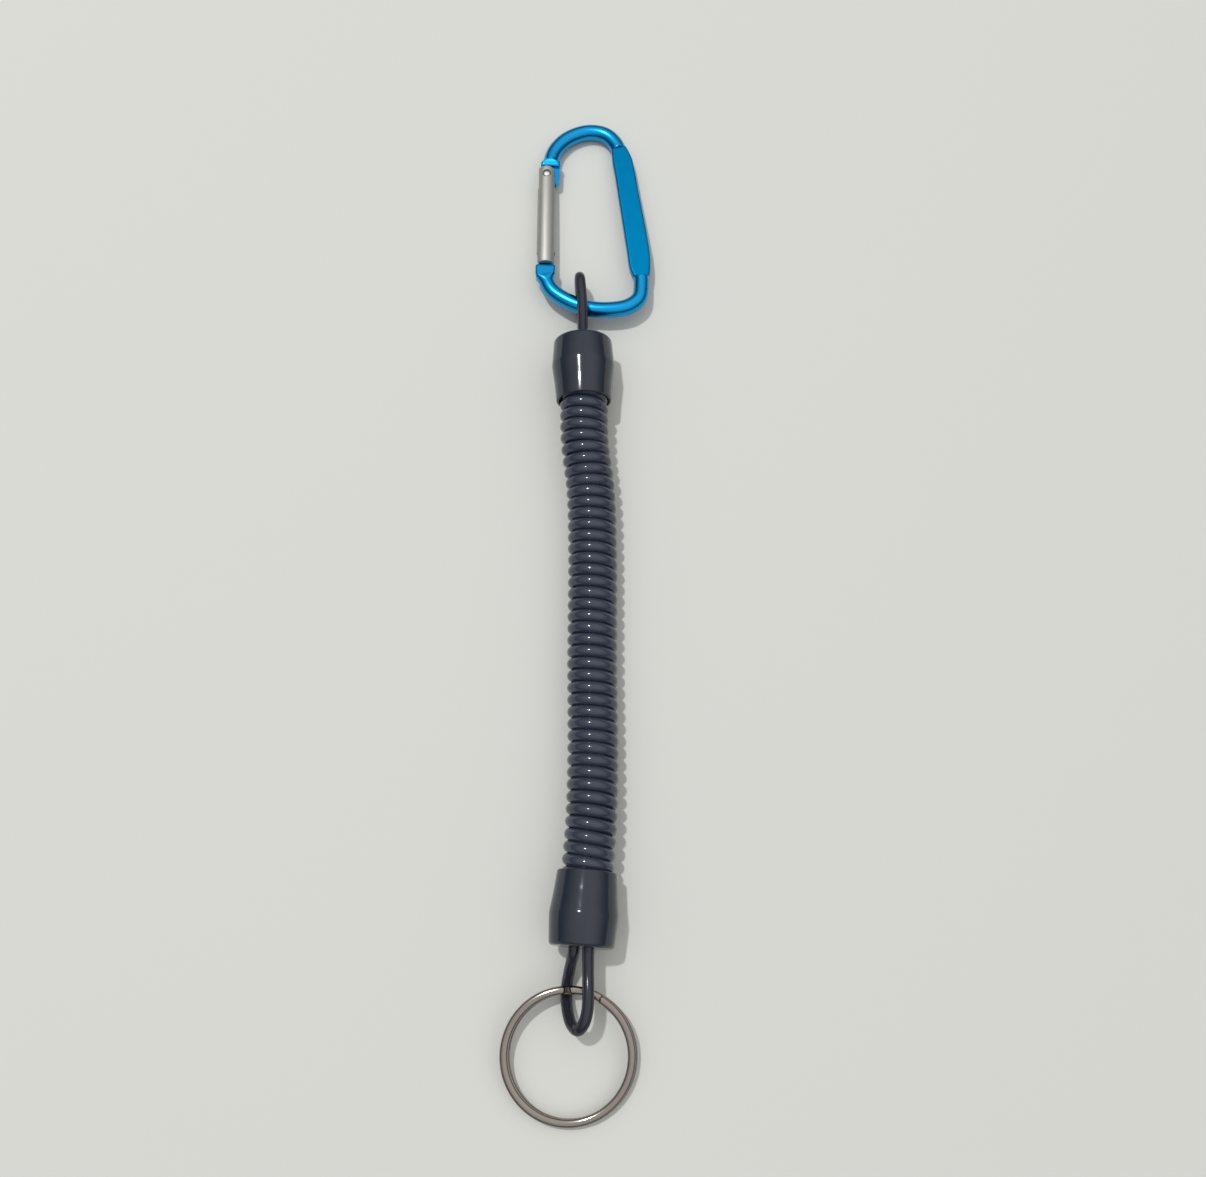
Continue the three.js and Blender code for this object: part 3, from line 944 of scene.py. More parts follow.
@dataclass
class EndCap:
    """A moulded cup over one end of the coil, with two holes for the strands of its loop."""

    name: str
    body: str
    node: str
    ferrule: str
    mouth: Point
    heading: float
    strands: float
    rise: float = 0.0
    length: float = 13.3 * MM
    bore_radius: float = 4.98 * MM
    bore_depth: float = 10.6 * MM
    mouth_radius: float = 5.52 * MM
    waist_radius: float = 5.86 * MM
    waist_at: float = 3.8 * MM
    belly_radius: float = 6.35 * MM
    belly_at: float = 7.6 * MM
    end_radius: float = 5.9 * MM
    strand_offset: float = 1.55 * MM
    strand_hole: float = 1.18 * MM
    drill_low: float = 9 * MM
    drill_high: float = 15 * MM
    bore_round: float = 0.3 * MM
    lip_inner: float = 0.16 * MM
    lip_outer: float = 0.28 * MM
    waist_round: float = 20 * MM
    belly_round: float = 3 * MM
    end_round: float = 0.75 * MM
    corner_steps: int = 6
    segments: int = 96

    def place(self) -> Matrix:
        """Gives the cap's place: its mouth at the origin and its closed end along Y."""
        rise = Matrix.Rotation(math.radians(self.rise), 4, "X")
        return Matrix.Translation(self.mouth) @ (Matrix.Rotation(math.radians(self.heading), 4, "Z") @ rise)

    def point(self, along: float, across: Pair = (0, 0)) -> np.ndarray:
        """Gives a point of the cap in the frame.

        Args:
            along: the distance from its mouth.
            across: the distances to its side and up.

        Returns:
            The point.
        """
        return np.array(self.place() @ Vector((across[0], along, across[1])))

    def strand(self, sign: int) -> Pair:
        """Gives how far to the side and up one strand of the loop lies."""
        angle = math.radians(self.strands)
        return sign * self.strand_offset * math.cos(angle), sign * self.strand_offset * math.sin(angle)

    def build(self) -> Piece:
        """Turns the cup, rounds its edges and drills it for the strands.

        Returns:
            The cap, in its place.
        """
        corners = [
            (0, self.bore_depth, 0),
            (self.bore_radius, self.bore_depth, self.bore_round),
            (self.bore_radius, 0, self.lip_inner),
            (self.mouth_radius, 0, self.lip_outer),
            (self.waist_radius, self.waist_at, self.waist_round),
            (self.belly_radius, self.belly_at, self.belly_round),
            (self.end_radius, self.length, self.end_round),
            (0, self.length, 0),
        ]
        cap = lathe(self.name, rounded_outline(corners, self.corner_steps, closed=False), self.segments)
        for sign in (1, -1):
            drill = along_y(self.strand_hole, self.drill_low, self.drill_high, self.strand(sign))
            carve(cap, drill, Carve.CUT)
        cap.data.transform(self.place())
        shade(cap)
        return cap

    def dress(self, cap: Piece, plastic: Material, crimp: Material) -> None:
        """Gives the cap and the ferrule inside it their finishes.

        Args:
            cap: the cap.
            plastic: the cap's finish.
            crimp: the ferrule's finish.
        """
        put_on(cap, plastic, self.body, self.node)
        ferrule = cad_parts[self.ferrule]
        ferrule.data.materials.clear()
        ferrule.data.materials.append(crimp)
        log.info("%s keeps its solid, inside %s", self.ferrule, cap.name)


@dataclass
class CoiledCord:
    """The springy coil: a cord wound left-handed round a line that sags onto the table."""

    upper: EndCap
    lower: EndCap
    diameter: float = 2.38 * MM
    radius: float = 3.68 * MM
    turns: float = 42.5
    start_turn: float = 0.98
    tail_reach: float = 6.4 * MM
    tail_straight: float = 1.76 * MM
    tail_bend: float = 2 * MM
    tail_steps: int = 3
    bend_steps: int = 8
    steps_per_turn: int = 32
    sides: int = 14
    middle: tuple[Point, ...] = (
        (0.00027, 0.0257, 0.006),
        (0.0014, 0.0165, 0.00532),
        (0.00184, 0.003, 0.00491),
        (0.0018, -0.018, 0.0049),
        (0.00197, -0.035, 0.00505),
        (0.00172, -0.048, 0.00582),
    )

    def steps(self, axis: Route) -> np.ndarray:
        """Works out each step's turn and distance along the axis: a tail, a bend, the turns, and back.

        Args:
            axis: the line that the cord is wound round.

        Returns:
            Pairs of turn angle and distance.
        """
        tail = self.tail_straight + self.tail_bend
        pitch = (axis.length - 2 * tail) / self.turns
        lead = self.tail_bend / self.radius
        straight = np.linspace(0, self.tail_straight, self.tail_steps, endpoint=False)
        first = [(-lead, along) for along in straight]
        for bend in np.linspace(0, np.pi / 2, self.bend_steps, endpoint=False):
            first.append((-lead * math.cos(bend), self.tail_straight + self.tail_bend * math.sin(bend)))
        turned = np.linspace(0, self.turns, round(self.turns * self.steps_per_turn) + 1)
        curls = [(2 * np.pi * turn, tail + pitch * turn) for turn in turned]
        last = [(2 * np.pi * self.turns - angle, axis.length - along) for angle, along in first][::-1]
        return np.array([*first, *curls, *last])

    def build(self) -> tuple[Piece, np.ndarray, np.ndarray]:
        """Winds the cord.

        Returns:
            The cord, its centres and each ring's share of the stretch.
        """
        ends = [self.upper.point(self.tail_reach), self.upper.point(0)]
        back = [self.lower.point(0), self.lower.point(self.tail_reach)]
        axis = Route(np.array([*ends, *self.middle, *back]))
        angle, along = self.steps(axis).T
        ahead = axis.heading(along)
        side = unit(np.cross(UP, ahead))
        up = np.cross(ahead, side)
        turned = (2 * np.pi * self.start_turn - angle)[:, None]
        outward = side * np.cos(turned) + up * np.sin(turned)
        centres = axis.at(along) + self.radius * outward
        cord = tube("coiled_cord", centres, outward, self.diameter / 2, self.sides)
        shade(cord, CORD_SHARP)
        free = axis.length - 2 * self.tail_reach
        return cord, centres, np.clip((along - self.tail_reach) / free, 0, 1)

    def dress(self, cord: Piece, centres: np.ndarray, shares: np.ndarray, skin_of: Material) -> None:
        """Gives the cord its finish and lets it stretch between the caps.

        Args:
            cord: the cord.
            centres: its centres; not used.
            shares: each ring's share of the stretch.
            skin_of: its finish.
        """
        mouths = (self.upper.point(0), self.lower.point(0))
        bend_between(cord, (self.upper.body, self.lower.body), mouths, shares, self.sides)
        stand_for(cord, skin_of, "coil_cord")


@dataclass
class CordLoop:
    """The loop of cord on one cap, which a fitting hangs on."""

    name: str
    cap: EndCap
    body: str
    node: str
    free: tuple[Point, ...]
    diameter: float = 2.16 * MM
    grip_at: float = 7.2 * MM
    wall_at: float = 12.3 * MM
    out_at: float = 14 * MM
    give: float = 5 * MM
    sides: int = 18
    steps: int = 170

    def build(self) -> tuple[Piece, np.ndarray]:
        """Runs the cord out of one hole, round the fitting and back into the other.

        Returns:
            The loop and its centres.
        """
        stations = (self.grip_at, self.wall_at, self.out_at)
        out = [self.cap.point(along, self.cap.strand(1)) for along in stations]
        back = [self.cap.point(along, self.cap.strand(-1)) for along in stations][::-1]
        route = Route(np.array([*out, *self.free, *back]))
        centres = route.at(np.linspace(0, route.length, self.steps + 1))
        loop = tube(self.name, centres, None, self.diameter / 2, self.sides)
        shade(loop, CORD_SHARP)
        return loop, centres

    def dress(self, loop: Piece, centres: np.ndarray, skin_of: Material) -> None:
        """Gives the loop its finish and lets it bend where it leaves the cap.

        Args:
            loop: the loop.
            centres: its centres; not used.
            skin_of: its finish.
        """
        start, end = self.cap.point(self.cap.length), self.cap.point(self.cap.length + self.give)
        bend_between(loop, (self.cap.body, self.body), (start, end), None, self.sides)
        stand_for(loop, skin_of, self.node)
        self.cap.point(self.cap.length, self.cap.strand(1))


@dataclass
class Carabiner:
    """The snap hook's bent rod with its pressed spine, the tang the gate turns on and the nose it closes on.

    The route, the leaves' corners and the spine's ends are in millimetres, in the hook's own plane.
    """

    rod_radius: float = 1.65 * MM
    bar_y: float = 56.5 * MM
    bar_z: float = 4 * MM
    bow_height: float = 44.25 * MM
    spine_half: float = 1.1 * MM
    tang_thickness: float = 1.3 * MM
    tongue_thickness: float = 1.2 * MM
    gate_x: float = -8.25 * MM
    rivet_at: float = 32.45 * MM
    hole_radius: float = 0.9 * MM
    hole_length: float = 6 * MM
    tang_round: float = 0.35 * MM
    tongue_round: float = 0.2 * MM
    leaf_steps: int = 4
    corner_steps: int = 8
    ring_gap: float = 0.45 * MM
    spine_top: Pair = (7.15, 39.6)
    spine_foot: Pair = (11.88, 7.6)
    route: tuple[Pair, ...] = (
        (-7.5, 34.7),
        (-7.35, 37.2),
        (-6.3, 39.9),
        (-3.6, 42.7),
        (0.6, 44.25),
        (4.3, 43.6),
        (6.6, 41.2),
        (7.95, 37),
        (9.45, 27.2),
        (10.95, 16.7),
        (11.28, 14.2),
        (11.6, 10.6),
        (11.88, 7.6),
        (11.93, 6.2),
        (11.4, 2.8),
        (9, 0.75),
        (4.4, 0),
        (0.6, 0.4),
        (-3.55, 2.1),
        (-6.95, 4.8),
        (-8.2, 7.8),
        (-8.2, 10.35),
    )
    tang: tuple[Pair, ...] = (
        (-9.6, 35.6),
        (-9.6, 31.4),
        (-9.1, 30.6),
        (-6.2, 30.6),
        (-5.6, 31.2),
        (-5.4, 35.6),
    )
    tongue: tuple[Pair, ...] = (
        (-9.7, 9.8),
        (-7, 9.8),
        (-7, 12.8),
        (-7.4, 13.2),
        (-9.3, 13.2),
        (-9.7, 12.8),
    )

    def place(self) -> Matrix:
        """Gives the hook's place: its bar on the loop and its bow on the table."""
        tilt = math.asin((self.bar_z - self.rod_radius) / self.bow_height)
        return Matrix.Translation((0, self.bar_y, self.bar_z)) @ Matrix.Rotation(-tilt, 4, "X")

    def sections(self, route: Route) -> np.ndarray:
        """Lists the rod's sections: distance, half width, half thickness and corner radius.

        Args:
            route: the rod's middle line.

        Returns:
            One row for each section, in order.
        """
        rod = (self.rod_radius / MM,) * 3
        thin = self.spine_half / MM
        top, foot = (route.nearest(np.array(at) * MM) / MM for at in (self.spine_top, self.spine_foot))
        end = route.length / MM
        spine = [
            (top + 1.6, 1.92),
            (top + 3.3, 2.14),
            (top + 6.5, 2.17),
            (top + 9.8, 2.18),
            (top + 14.8, 2.25),
            (top + 20.9, 2.34),
            (foot - 7, 2.36),
            (foot - 4.6, 2.34),
            (foot - 3.1, 2.27),
            (foot - 1.6, 2.06),
        ]
        rows = [
            (0.0, 1.95, 1.05, 0.5),
            (0.12, 2.05, 1.25, 0.5),
            (0.35, 2.1, 1.4, 0.5),
            (1.0, 2.05, 1.5, 0.6),
            (1.5, 1.8, 1.62, 1.2),
            (1.9, *rod),
            (top - 0.1, *rod),
            (top, 1.63, 1.5, 1.3),
            (top + 0.12, 1.62, thin, 0.45),
            *[(along, wide, thin, 0.4) for along, wide in spine],
            (foot - 0.6, 1.8, thin, 0.45),
            (foot - 0.12, 1.66, thin, 0.45),
            (foot, 1.64, 1.5, 1.3),
            (foot + 0.1, *rod),
            (end - 3.7, *rod),
            (end - 3.0, 1.8, 1.62, 1.2),
            (end - 2.4, 2.05, 1.52, 0.6),
            (end - 0.6, 2.12, 1.47, 0.55),
            (end - 0.32, 2.1, 1.38, 0.5),
            (end - 0.1, 2.02, 1.2, 0.5),
            (end, 1.92, 1.0, 0.45),
        ]
        return np.array(rows) * MM

    def build_rod(self, drawn: Material, pressed: Material) -> Piece:
        """Draws the rod through its sections, with its drawn finish and the spine's pressed one.

        Args:
            drawn: the rod's finish.
            pressed: the spine's finish.

        Returns:
            The rod, in its own plane.
        """
        route = Route(np.array([(x * MM, y * MM, 0) for x, y in self.route]))
        table = self.sections(route)
        along = np.unique(np.concatenate([table[:, 0], np.arange(0, route.length, self.ring_gap)]))
        outward = np.cross(route.heading(along), UP)
        sizes = [np.interp(along, table[:, 0], table[:, column]) for column in (1, 2, 3)]
        rings = []
        for centre, out, wide, thick, corner in zip(route.at(along), outward, *sizes):
            section = soft_box_section(wide, thick, corner, self.corner_steps)
            rings.append(centre + section[:, :1] * out + section[:, 1:] * UP)
        rod = skin("carabiner_rod", np.array(rings), along, 2 * np.pi * self.rod_radius)
        for material in (drawn, pressed):
            rod.data.materials.append(material)
        flat = np.abs(sizes[1] - self.spine_half) < HAIR
        both = np.repeat(flat[:-1] & flat[1:], len(rings[0]))
        rod.data.polygons.foreach_set("material_index", [*both.astype(np.int32), 0, 0])
        face_outward(rod)
        return rod

    def leaf(self, name: str, corners: tuple[Pair, ...], corner: float, thickness: float) -> Piece:
        """Makes a flat leaf of the frame with round corners, in the rod's plane."""
        rounded = [(x * MM, y * MM, corner) for x, y in corners]
        return plate(name, rounded_outline(rounded, self.leaf_steps, closed=True), thickness)

    def build(self, drawn: Material, pressed: Material) -> Piece:
        """Joins the tang and the tongue to the rod and drills the tang for the rivet.

        Args:
            drawn: the rod's finish.
            pressed: the spine's finish.

        Returns:
            The hook's frame, in its place.
        """
        rod = self.build_rod(drawn, pressed)
        tang = self.leaf("tang", self.tang, self.tang_round, self.tang_thickness)
        carve(tang, along_z(self.hole_radius, self.hole_length, (self.gate_x, self.rivet_at)), Carve.CUT)
        tongue = self.leaf("tongue", self.tongue, self.tongue_round, self.tongue_thickness)
        carve(rod, tang, Carve.JOIN)
        carve(rod, tongue, Carve.JOIN)
        rod.data.transform(self.place())
        shade(rod, METAL_SHARP)
        return rod

    def dress(self, drawn: Material, pressed: Material) -> None:
        """Builds the hook's frame with its two finishes and hangs it on its body."""
        put_on(self.build(drawn, pressed), drawn, "carabiner", "carabiner_frame")


@dataclass
class Gate:
    """The hook's sprung gate, with its rivet, its plunger and the spring that closes it."""

    hook: Carabiner
    radius: float = 1.95 * MM
    low: float = 10.7 * MM
    fork_gap: float = 1.9 * MM
    fork_low: float = 29.2 * MM
    slot_gap: float = 1.8 * MM
    slot_top: float = 13.5 * MM
    bore_radius: float = 1.1 * MM
    bore_low: float = 17.9 * MM
    low_round: float = 0.18 * MM
    top_round: float = 0.25 * MM
    round_steps: int = 3
    swing_steps: int = 12
    segments: int = 64
    rivet_radius: float = 0.8 * MM
    rivet_half: float = 1.7 * MM
    rivet_dome: float = 0.34 * MM
    dome_steps: int = 6
    rivet_segments: int = 40
    rivet_sharp: float = 50
    plunger_radius: float = 0.8 * MM
    plunger_top: float = 30.3 * MM
    plunger_length: float = 3.4 * MM
    foot_round: float = 0.12 * MM
    tip_round: float = 0.5 * MM
    plunger_steps: int = 5
    plunger_segments: int = 36
    wire_radius: float = 0.15 * MM
    spring_radius: float = 0.62 * MM
    spring_gap: float = 0.3 * MM
    spring_turns: int = 6
    spring_steps: int = 24
    spring_sides: int = 10

    def at_gate(self) -> Matrix:
        """Gives the place of the gate's middle line, along Y."""
        return self.hook.place() @ Matrix.Translation((self.hook.gate_x, 0, 0))

    def build_rod(self) -> Piece:
        """Turns the gate, rounds it about the rivet and cuts its fork, slot, bore and hole.

        Returns:
            The gate, in its place.
        """
        top = self.hook.rivet_at + self.radius
        wide = 3 * self.radius
        corners = [
            (0, self.low, 0),
            (self.radius, self.low, self.low_round),
            (self.radius, top, self.top_round),
            (0, top, 0),
        ]
        rod = lathe("gate_rod", rounded_outline(corners, self.round_steps, closed=False), self.segments)
        arc = [
            (self.radius * math.cos(a), self.hook.rivet_at + self.radius * math.sin(a))
            for a in np.linspace(0, np.pi / 2, self.swing_steps + 1)
        ]
        outline = [(-wide, self.low - MM), (self.radius + HAIR, self.low - MM), *arc, (-wide, top)]
        carve(rod, plate("swing", np.array(outline), 2 * wide), Carve.KEEP_INSIDE)
        fork, slot = self.fork_gap / 2, self.slot_gap / 2
        carve(rod, block((-wide, wide), (self.fork_low, top + MM), (-fork, fork)), Carve.CUT)
        carve(rod, block((-wide, wide), (self.low - MM, self.slot_top), (-slot, slot)), Carve.CUT)
        carve(rod, along_y(self.bore_radius, self.bore_low, self.fork_low + MM, (0, 0)), Carve.CUT)
        carve(rod, along_z(self.hook.hole_radius, 2 * wide, (0, self.hook.rivet_at)), Carve.CUT)
        rod.data.transform(self.at_gate())
        shade(rod, METAL_SHARP)
        return rod

    def build_rivet(self) -> Piece:
        """Turns the rivet with its two domed heads.

        Returns:
            The rivet, in its place.
        """
        rise = [
            (self.rivet_radius * math.sin(a), self.rivet_half + self.rivet_dome * math.cos(a))
            for a in np.linspace(0, np.pi / 2, self.dome_steps + 1)
        ]
        profile = [*[(r, -z) for r, z in rise], *rise[::-1]]
        rivet = lathe("gate_rivet_pin", np.array(profile), self.rivet_segments)
        upright = Matrix.Translation((0, self.hook.rivet_at, 0)) @ Matrix.Rotation(math.pi / 2, 4, "X")
        rivet.data.transform(self.at_gate() @ upright)
        shade(rivet, self.rivet_sharp)
        return rivet

    def build_plunger(self) -> Piece:
        """Turns the plunger that presses on the tang.

        Returns:
            The plunger, in its place.
        """
        low = self.plunger_top - self.plunger_length
        corners = [
            (0, low, 0),
            (self.plunger_radius, low, self.foot_round),
            (self.plunger_radius, self.plunger_top, self.tip_round),
            (0, self.plunger_top, 0),
        ]
        outline = rounded_outline(corners, self.plunger_steps, closed=False)
        plunger = lathe("gate_plunger_pin", outline, self.plunger_segments)
        plunger.data.transform(self.at_gate())
        shade(plunger)
        return plunger

    def build_spring(self) -> tuple[Piece, np.ndarray]:
        """Winds the spring in the gate's bore.

        Returns:
            The spring and each ring's share of the plunger's motion.
        """
        low = self.bore_low + self.spring_gap
        high = self.plunger_top - self.plunger_length - self.spring_gap
        share = np.linspace(0, 1, self.spring_turns * self.spring_steps + 1)
        turn = -2 * np.pi * self.spring_turns * share
        outward = np.stack([np.cos(turn), np.zeros_like(turn), np.sin(turn)], axis=1)
        centres = outward * self.spring_radius
        centres[:, 1] = low + self.wire_radius + (high - low - 2 * self.wire_radius) * share
        spring = tube("gate_spring_wire", centres, outward, self.wire_radius, self.spring_sides)
        spring.data.transform(self.at_gate())
        shade(spring, CORD_SHARP)
        return spring, share

    def dress(self, aluminium: Material, steel: Material) -> None:
        """Builds the gate's pieces, gives them their finishes and hangs them on their bodies.

        Args:
            aluminium: the gate's finish.
            steel: the finish of the rivet, plunger and spring.
        """
        put_on(self.build_rod(), aluminium, "gate", "carabiner_gate")
        put_on(self.build_rivet(), steel, "carabiner", "gate_hinge_rivet")
        put_on(self.build_plunger(), steel, "plunger", "gate_plunger")
        spring, shares = self.build_spring()
        ends = [np.array(self.at_gate() @ Vector((0, y, 0))) for y in (self.bore_low, self.plunger_top)]
        bend_between(spring, ("gate", "plunger"), (ends[0], ends[1]), shares, self.spring_sides)
        stand_for(spring, steel, "gate_spring")
        log.info("%s bends between the gate and the plunger", spring.name)


@dataclass
class SplitRing:
    """The key ring: oval wire wound nearly twice, one turn on top of the other."""

    centre: Pair = (-2.4 * MM, -89.35 * MM)
    outer_radius: float = 12.15 * MM
    wire_width: float = 1.5 * MM
    wire_height: float = 1.06 * MM
    wire_fullness: float = 2.1
    turn_rise: float = 1.09 * MM
    tilt: float = 8.0
    cut_angle: float = 60.0
    top_travel: float = 325.0
    step_down: float = 6.0
    lower_shift: Pair = (0.3 * MM, -0.2 * MM)
    whole_travel: float = 684.0
    end_steps: Point = (0.04 * MM, 0.12 * MM, 0.25 * MM)
    end_round: float = 0.25 * MM
    end_shrink: float = 0.22
    steps: int = 340
    sides: int = 32
    sharp: float = 45

    def build(self) -> Piece:
        """Winds the wire, stepping down from the upper turn to the lower, and rounds its cut ends.

        Returns:
            The ring, in its place.
        """
        middle = self.outer_radius - self.wire_width / 2
        turned = np.linspace(0, self.whole_travel, self.steps + 1)
        ends = np.radians(self.whole_travel) * middle
        along = np.radians(turned) * middle
        extra = np.array(self.end_steps)
        along = np.unique(np.concatenate([along, extra, ends - extra]))
        angle = np.radians(self.cut_angle) - along / middle
        done = np.clip((np.degrees(along / middle) - self.top_travel) / self.step_down, 0, 1)
        down = done * done * (3 - 2 * done)
        level = self.turn_rise * (0.5 - down)
        shift = np.outer(down, (*self.lower_shift, 0))
        end_gap = np.minimum(along, ends - along)
        shrink = 1 - self.end_shrink * np.clip(1 - end_gap / self.end_round, 0, 1) ** 2
        wire = oval_section(self.wire_width / 2, self.wire_height / 2, self.wire_fullness, self.sides)
        rings = []
        for turn, height, moved, size in zip(angle, level, shift, shrink):
            section = wire * size
            outward = np.array((math.cos(turn), math.sin(turn), 0))
            rings.append(moved + (middle + section[:, :1]) * outward + (height + section[:, 1:]) * UP)
        ring = skin("key_ring_wire", np.array(rings), along, 2 * (self.wire_width + self.wire_height))
        tilt = math.radians(self.tilt)
        stack = (self.turn_rise + self.wire_height) / 2
        lift = (self.outer_radius - self.lower_shift[1]) * math.sin(tilt) + stack * math.cos(tilt)
        ring.data.transform(Matrix.Translation((*self.centre, lift)) @ Matrix.Rotation(tilt, 4, "X"))
        face_outward(ring)
        shade(ring, self.sharp)
        return ring

    def dress(self, ring: Piece, nickel: Material) -> None:
        """Gives the ring its finish and hangs it on its body."""
        put_on(ring, nickel, "ring", "split_ring")


# The studio


@dataclass
class Studio:
    """A plain pale table, a key light from the upper left in a soft surround, and the camera above them."""

    table_colour: Colour = (0.663, 0.669, 0.629, 1)
    table_radius: float = 6.0
    table_sides: int = 64
    table_drop: float = 0.01 * MM
    table_roughness: float = 0.75
    table_specular: float = 0.25
    key_slope: Pair = (-0.265, 0.27)
    key_distance: float = 2.0
    key_size: float = 0.08
    key_share: float = 0.39
    horizon: float = 0.1
    overhead: float = 0.88
    dark_below: float = 0.15
    pale_above: float = 0.95
    window_share: float = 0.3
    window_toward: Point = (0.97, 0.2, 0.1)
    camera_at: Point = (0.00385, -0.0659, 0.234)
    camera_tilt: float = 15.16
    focal_pixels: float = 1220.0
    picture_width: float = 1206.0
    sensor_width: float = 36.0
    nearest_seen: float = 10 * MM

    def camera(self) -> None:
        """Sets the camera as the photograph has it."""
        lens = bpy.data.cameras.new("camera")
        lens.sensor_width = self.sensor_width
        lens.lens = self.sensor_width * self.focal_pixels / self.picture_width
        lens.clip_start = self.nearest_seen
        eye = bpy.data.objects.new("camera", lens)
        eye.location = self.camera_at
        eye.rotation_euler = (math.radians(self.camera_tilt), 0, 0)
        bpy.context.scene.collection.objects.link(eye)
        bpy.context.scene.camera = eye

    def table(self) -> None:
        """Lays the pale table that the lanyard lies on."""
        rim = self.table_radius * round_section(1, self.table_sides)
        points = np.column_stack([rim, np.full(self.table_sides, -self.table_drop)])
        table = mesh_piece("table", points, [tuple(range(self.table_sides))])
        material, graph = start_material("pale_table")
        look = {
            "Base Color": self.table_colour,
            "Roughness": self.table_roughness,
            "Specular IOR Level": self.table_specular,
        }
        close_material(graph, look)
        table.data.materials.append(material)

    def light(self) -> None:
        """Hangs the key light and sets the pale surround."""
        toward = Vector((*self.key_slope, 1)).normalized()
        lamp = bpy.data.lights.new("key", "AREA")
        lamp.shape = "DISK"
        lamp.size = self.key_size
        lamp.energy = self.key_share * (math.pi * self.key_distance) ** 2 / toward.z
        key = bpy.data.objects.new("key", lamp)
        key.location = toward * self.key_distance
        key.rotation_euler = toward.to_track_quat("Z", "Y").to_euler()
        bpy.context.scene.collection.objects.link(key)
        self.surround()

    def surround(self) -> None:
        """Makes the room's soft light: pale overhead and towards the window, dark near the horizon."""
        world = bpy.data.worlds.new("surround")
        world.use_nodes = True
        world.node_tree.nodes.clear()
        graph = Graph(world.node_tree)
        way = graph.add("ShaderNodeTexCoord").outputs["Generated"]
        height = graph.add("ShaderNodeSeparateXYZ", {0: way}).outputs["Z"]
        window = tuple(Vector(self.window_toward).normalized())
        facing = graph.vector("DOT_PRODUCT", way, window, "Value")
        ramp = graph.add("ShaderNodeValToRGB", {"Fac": height})
        ramp.color_ramp.interpolation = "EASE"
        stops = ramp.color_ramp.elements
        stops[0].position, stops[0].color = self.dark_below, (*[self.horizon] * 3, 1)
        stops[1].position, stops[1].color = self.pale_above, (*[self.overhead] * 3, 1)
        strength = graph.spread(facing, -1, 1, 1 - self.window_share, 1 + self.window_share)
        light = graph.add("ShaderNodeBackground", {"Color": ramp.outputs["Color"], "Strength": strength})
        graph.join(light.outputs[0], graph.add("ShaderNodeOutputWorld"), "Surface")
        bpy.context.scene.world = world

    def build(self) -> None:
        """Sets up the camera, the table and the light."""
        self.camera()
        self.table()
        self.light()
        bpy.context.scene.view_settings.view_transform = "Standard"


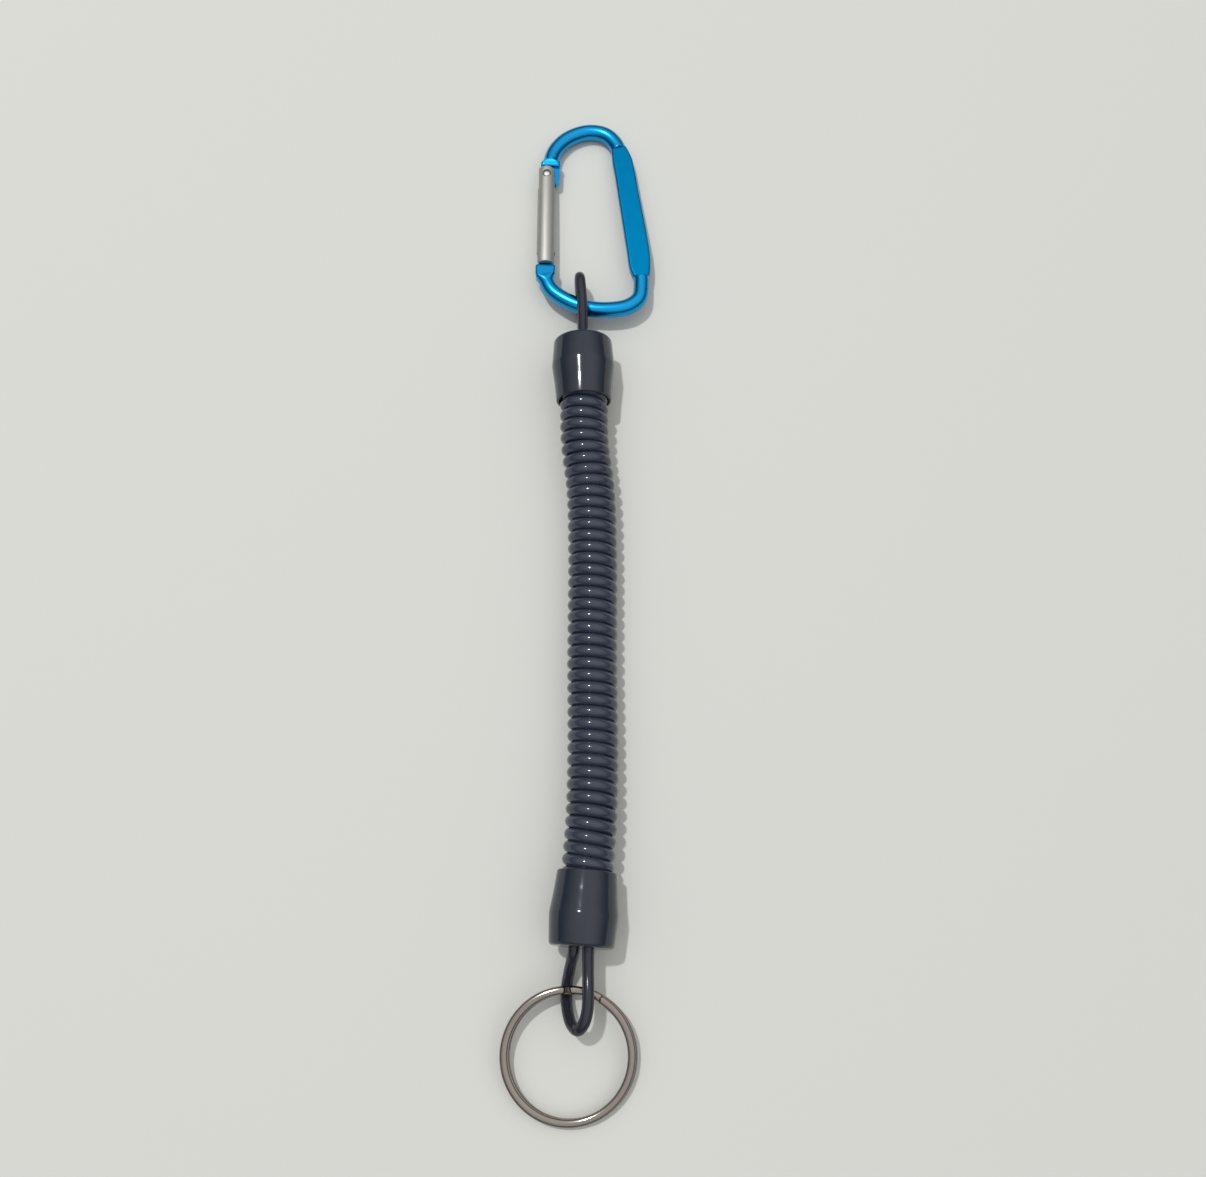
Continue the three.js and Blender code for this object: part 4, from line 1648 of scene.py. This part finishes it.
@dataclass
class Finishes:
    """The lanyard's finishes, each made once."""

    effects: SurfaceEffects = field(default_factory=SurfaceEffects)

    def __post_init__(self) -> None:
        """Makes every finish."""
        blue = {"worn_colour": (0.1, 0.38, 0.64, 1), "dust": 0.002}
        self.drawn_blue = MetalFinish(
            name="drawn_blue", colour=(0.0005, 0.325, 0.7, 1), shadow_colour=(0.0004, 0.3, 0.65, 1),
            roughness=(0.22, 0.28), coat=0.28, lay=Lay.ALONG, line_scale=(400, 9000, 1),
            line_depth=0.004 * MM, scratches=0.05, wear=0.12, **blue,
        ).make(self.effects)
        self.pressed_blue = MetalFinish(
            name="pressed_blue", colour=(0.0004, 0.206, 0.442, 1), shadow_colour=(0.0003, 0.194, 0.417, 1),
            roughness=(0.36, 0.43), lay=Lay.FRAME, line_scale=(2600, 2600, 2600),
            line_depth=0.0015 * MM, scratches=0.03, wear=0.15, **blue,
        ).make(self.effects)
        self.aluminium = MetalFinish(
            name="bare_aluminium", colour=(0.5, 0.497, 0.466, 1), shadow_colour=(0.455, 0.452, 0.42, 1),
            worn_colour=(0.7, 0.7, 0.67, 1), roughness=(0.52, 0.6), lay=Lay.FRAME,
            line_scale=(9000, 250, 9000), line_depth=0.006 * MM, scratches=0.1, wear=0.05, dust=0.01,
        ).make(self.effects)
        self.steel = MetalFinish(
            name="bright_steel", colour=(0.76, 0.75, 0.73, 1), shadow_colour=(0.7, 0.69, 0.67, 1),
            worn_colour=(0.85, 0.84, 0.82, 1), roughness=(0.18, 0.26), lay=Lay.FRAME,
            line_scale=(4000, 4000, 4000), line_depth=0.004 * MM, scratches=0.2, wear=0.1, dust=0.01,
        ).make(self.effects)
        self.nickel = MetalFinish(
            name="nickel_plate", colour=(0.325, 0.292, 0.256, 1), shadow_colour=(0.285, 0.255, 0.222, 1),
            worn_colour=(0.45, 0.42, 0.38, 1), roughness=(0.13, 0.19), lay=Lay.ALONG,
            line_scale=(150, 9000, 1), line_depth=0.004 * MM, scratches=0.2, wear=0.1, dust=0.01,
        ).make(self.effects)
        self.crimp = MetalFinish(
            name="crimped_metal", colour=(0.36, 0.32, 0.27, 1), shadow_colour=(0.26, 0.23, 0.19, 1),
            worn_colour=(0.55, 0.5, 0.45, 1), roughness=(0.35, 0.55), lay=Lay.FRAME,
            line_scale=(3000, 900, 3000), line_depth=0.02 * MM, scratches=0.5, wear=0.6, dust=0.05,
        ).make(self.effects)
        self.coil_cord = PolymerFinish(
            name="coiled_cord", colour=(0.0335, 0.041, 0.064, 1), light_colour=(0.037, 0.0455, 0.0705, 1),
            roughness=(0.11, 0.15), lay=Lay.ALONG, grain_depth=0.001 * MM, scratches=0.05, dust=0.006,
            ior=1.51,
        ).make(self.effects)
        self.loop_cord = PolymerFinish(
            name="looped_cord", colour=(0.0158, 0.0168, 0.0275, 1), light_colour=(0.0178, 0.019, 0.031, 1),
            roughness=(0.1, 0.14), lay=Lay.ALONG, grain_depth=0.001 * MM, scratches=0.05, dust=0.006,
            ior=1.5,
        ).make(self.effects)
        self.plastic = PolymerFinish(
            name="dark_plastic", colour=(0.0165, 0.0232, 0.0345, 1), light_colour=(0.0185, 0.0258, 0.038, 1),
            roughness=(0.1, 0.13), lay=Lay.FRAME, grain_depth=0.003 * MM, scratches=0.06, dust=0.006,
            ior=1.5, swell=11,
        ).make(self.effects)


def main() -> None:
    """Builds the studio and every sub-assembly of the lanyard, in order."""
    logging.basicConfig(level=logging.INFO, format="%(name)s: %(message)s")
    Studio().build()
    finishes = Finishes()
    upper = EndCap(
        name="upper_cap_shell", body="upper_end", node="upper_end_cap", ferrule="upper_ferrule",
        mouth=(0, 0.0348, 0.00635), heading=1.2, strands=90,
    )
    lower = EndCap(
        name="lower_cap_shell", body="lower_end", node="lower_end_cap", ferrule="lower_ferrule",
        mouth=(0.001, -0.0576, 0.00582), heading=175.5, strands=148, rise=4,
    )
    coil = CoiledCord(upper, lower)
    coil.dress(*coil.build(), finishes.coil_cord)
    upper_loop = CordLoop(
        name="upper_loop_cord", cap=upper, body="upper_cord_loop", node="upper_loop",
        free=(
            (-0.00033, 0.0522, 0.00745),
            (-0.00045, 0.057, 0.00725),
            (-0.00075, 0.06075, 0.00705),
            (-0.00088, 0.06223, 0.00665),
            (-0.001, 0.0633, 0.00557),
            (-0.0011, 0.0637, 0.0041),
            (-0.00107, 0.0633, 0.00263),
            (-0.00097, 0.06223, 0.00155),
            (-0.00086, 0.06075, 0.00115),
            (-0.0006, 0.057, 0.00106),
            (-0.00042, 0.0524, 0.00235),
        ),
    )
    lower_loop = CordLoop(
        name="lower_loop_cord", cap=lower, body="lower_cord_loop", node="lower_loop",
        free=(
            (0.00122, -0.075, 0.00755),
            (0.00125, -0.0785, 0.008),
            (0.0011, -0.0815, 0.0081),
            (0.00045, -0.0837, 0.00775),
            (-0.0006, -0.0848, 0.0065),
            (-0.00185, -0.0838, 0.0043),
            (-0.00265, -0.081, 0.002),
            (-0.0027, -0.0778, 0.00125),
            (-0.00212, -0.0746, 0.00335),
        ),
    )
    for loop in (upper_loop, lower_loop):
        loop.dress(*loop.build(), finishes.loop_cord)
    for cap in (upper, lower):
        cap.dress(cap.build(), finishes.plastic, finishes.crimp)
    hook = Carabiner()
    hook.dress(finishes.drawn_blue, finishes.pressed_blue)
    Gate(hook).dress(finishes.aluminium, finishes.steel)
    ring = SplitRing()
    ring.dress(ring.build(), finishes.nickel)


if __name__ == "__main__":
    main()
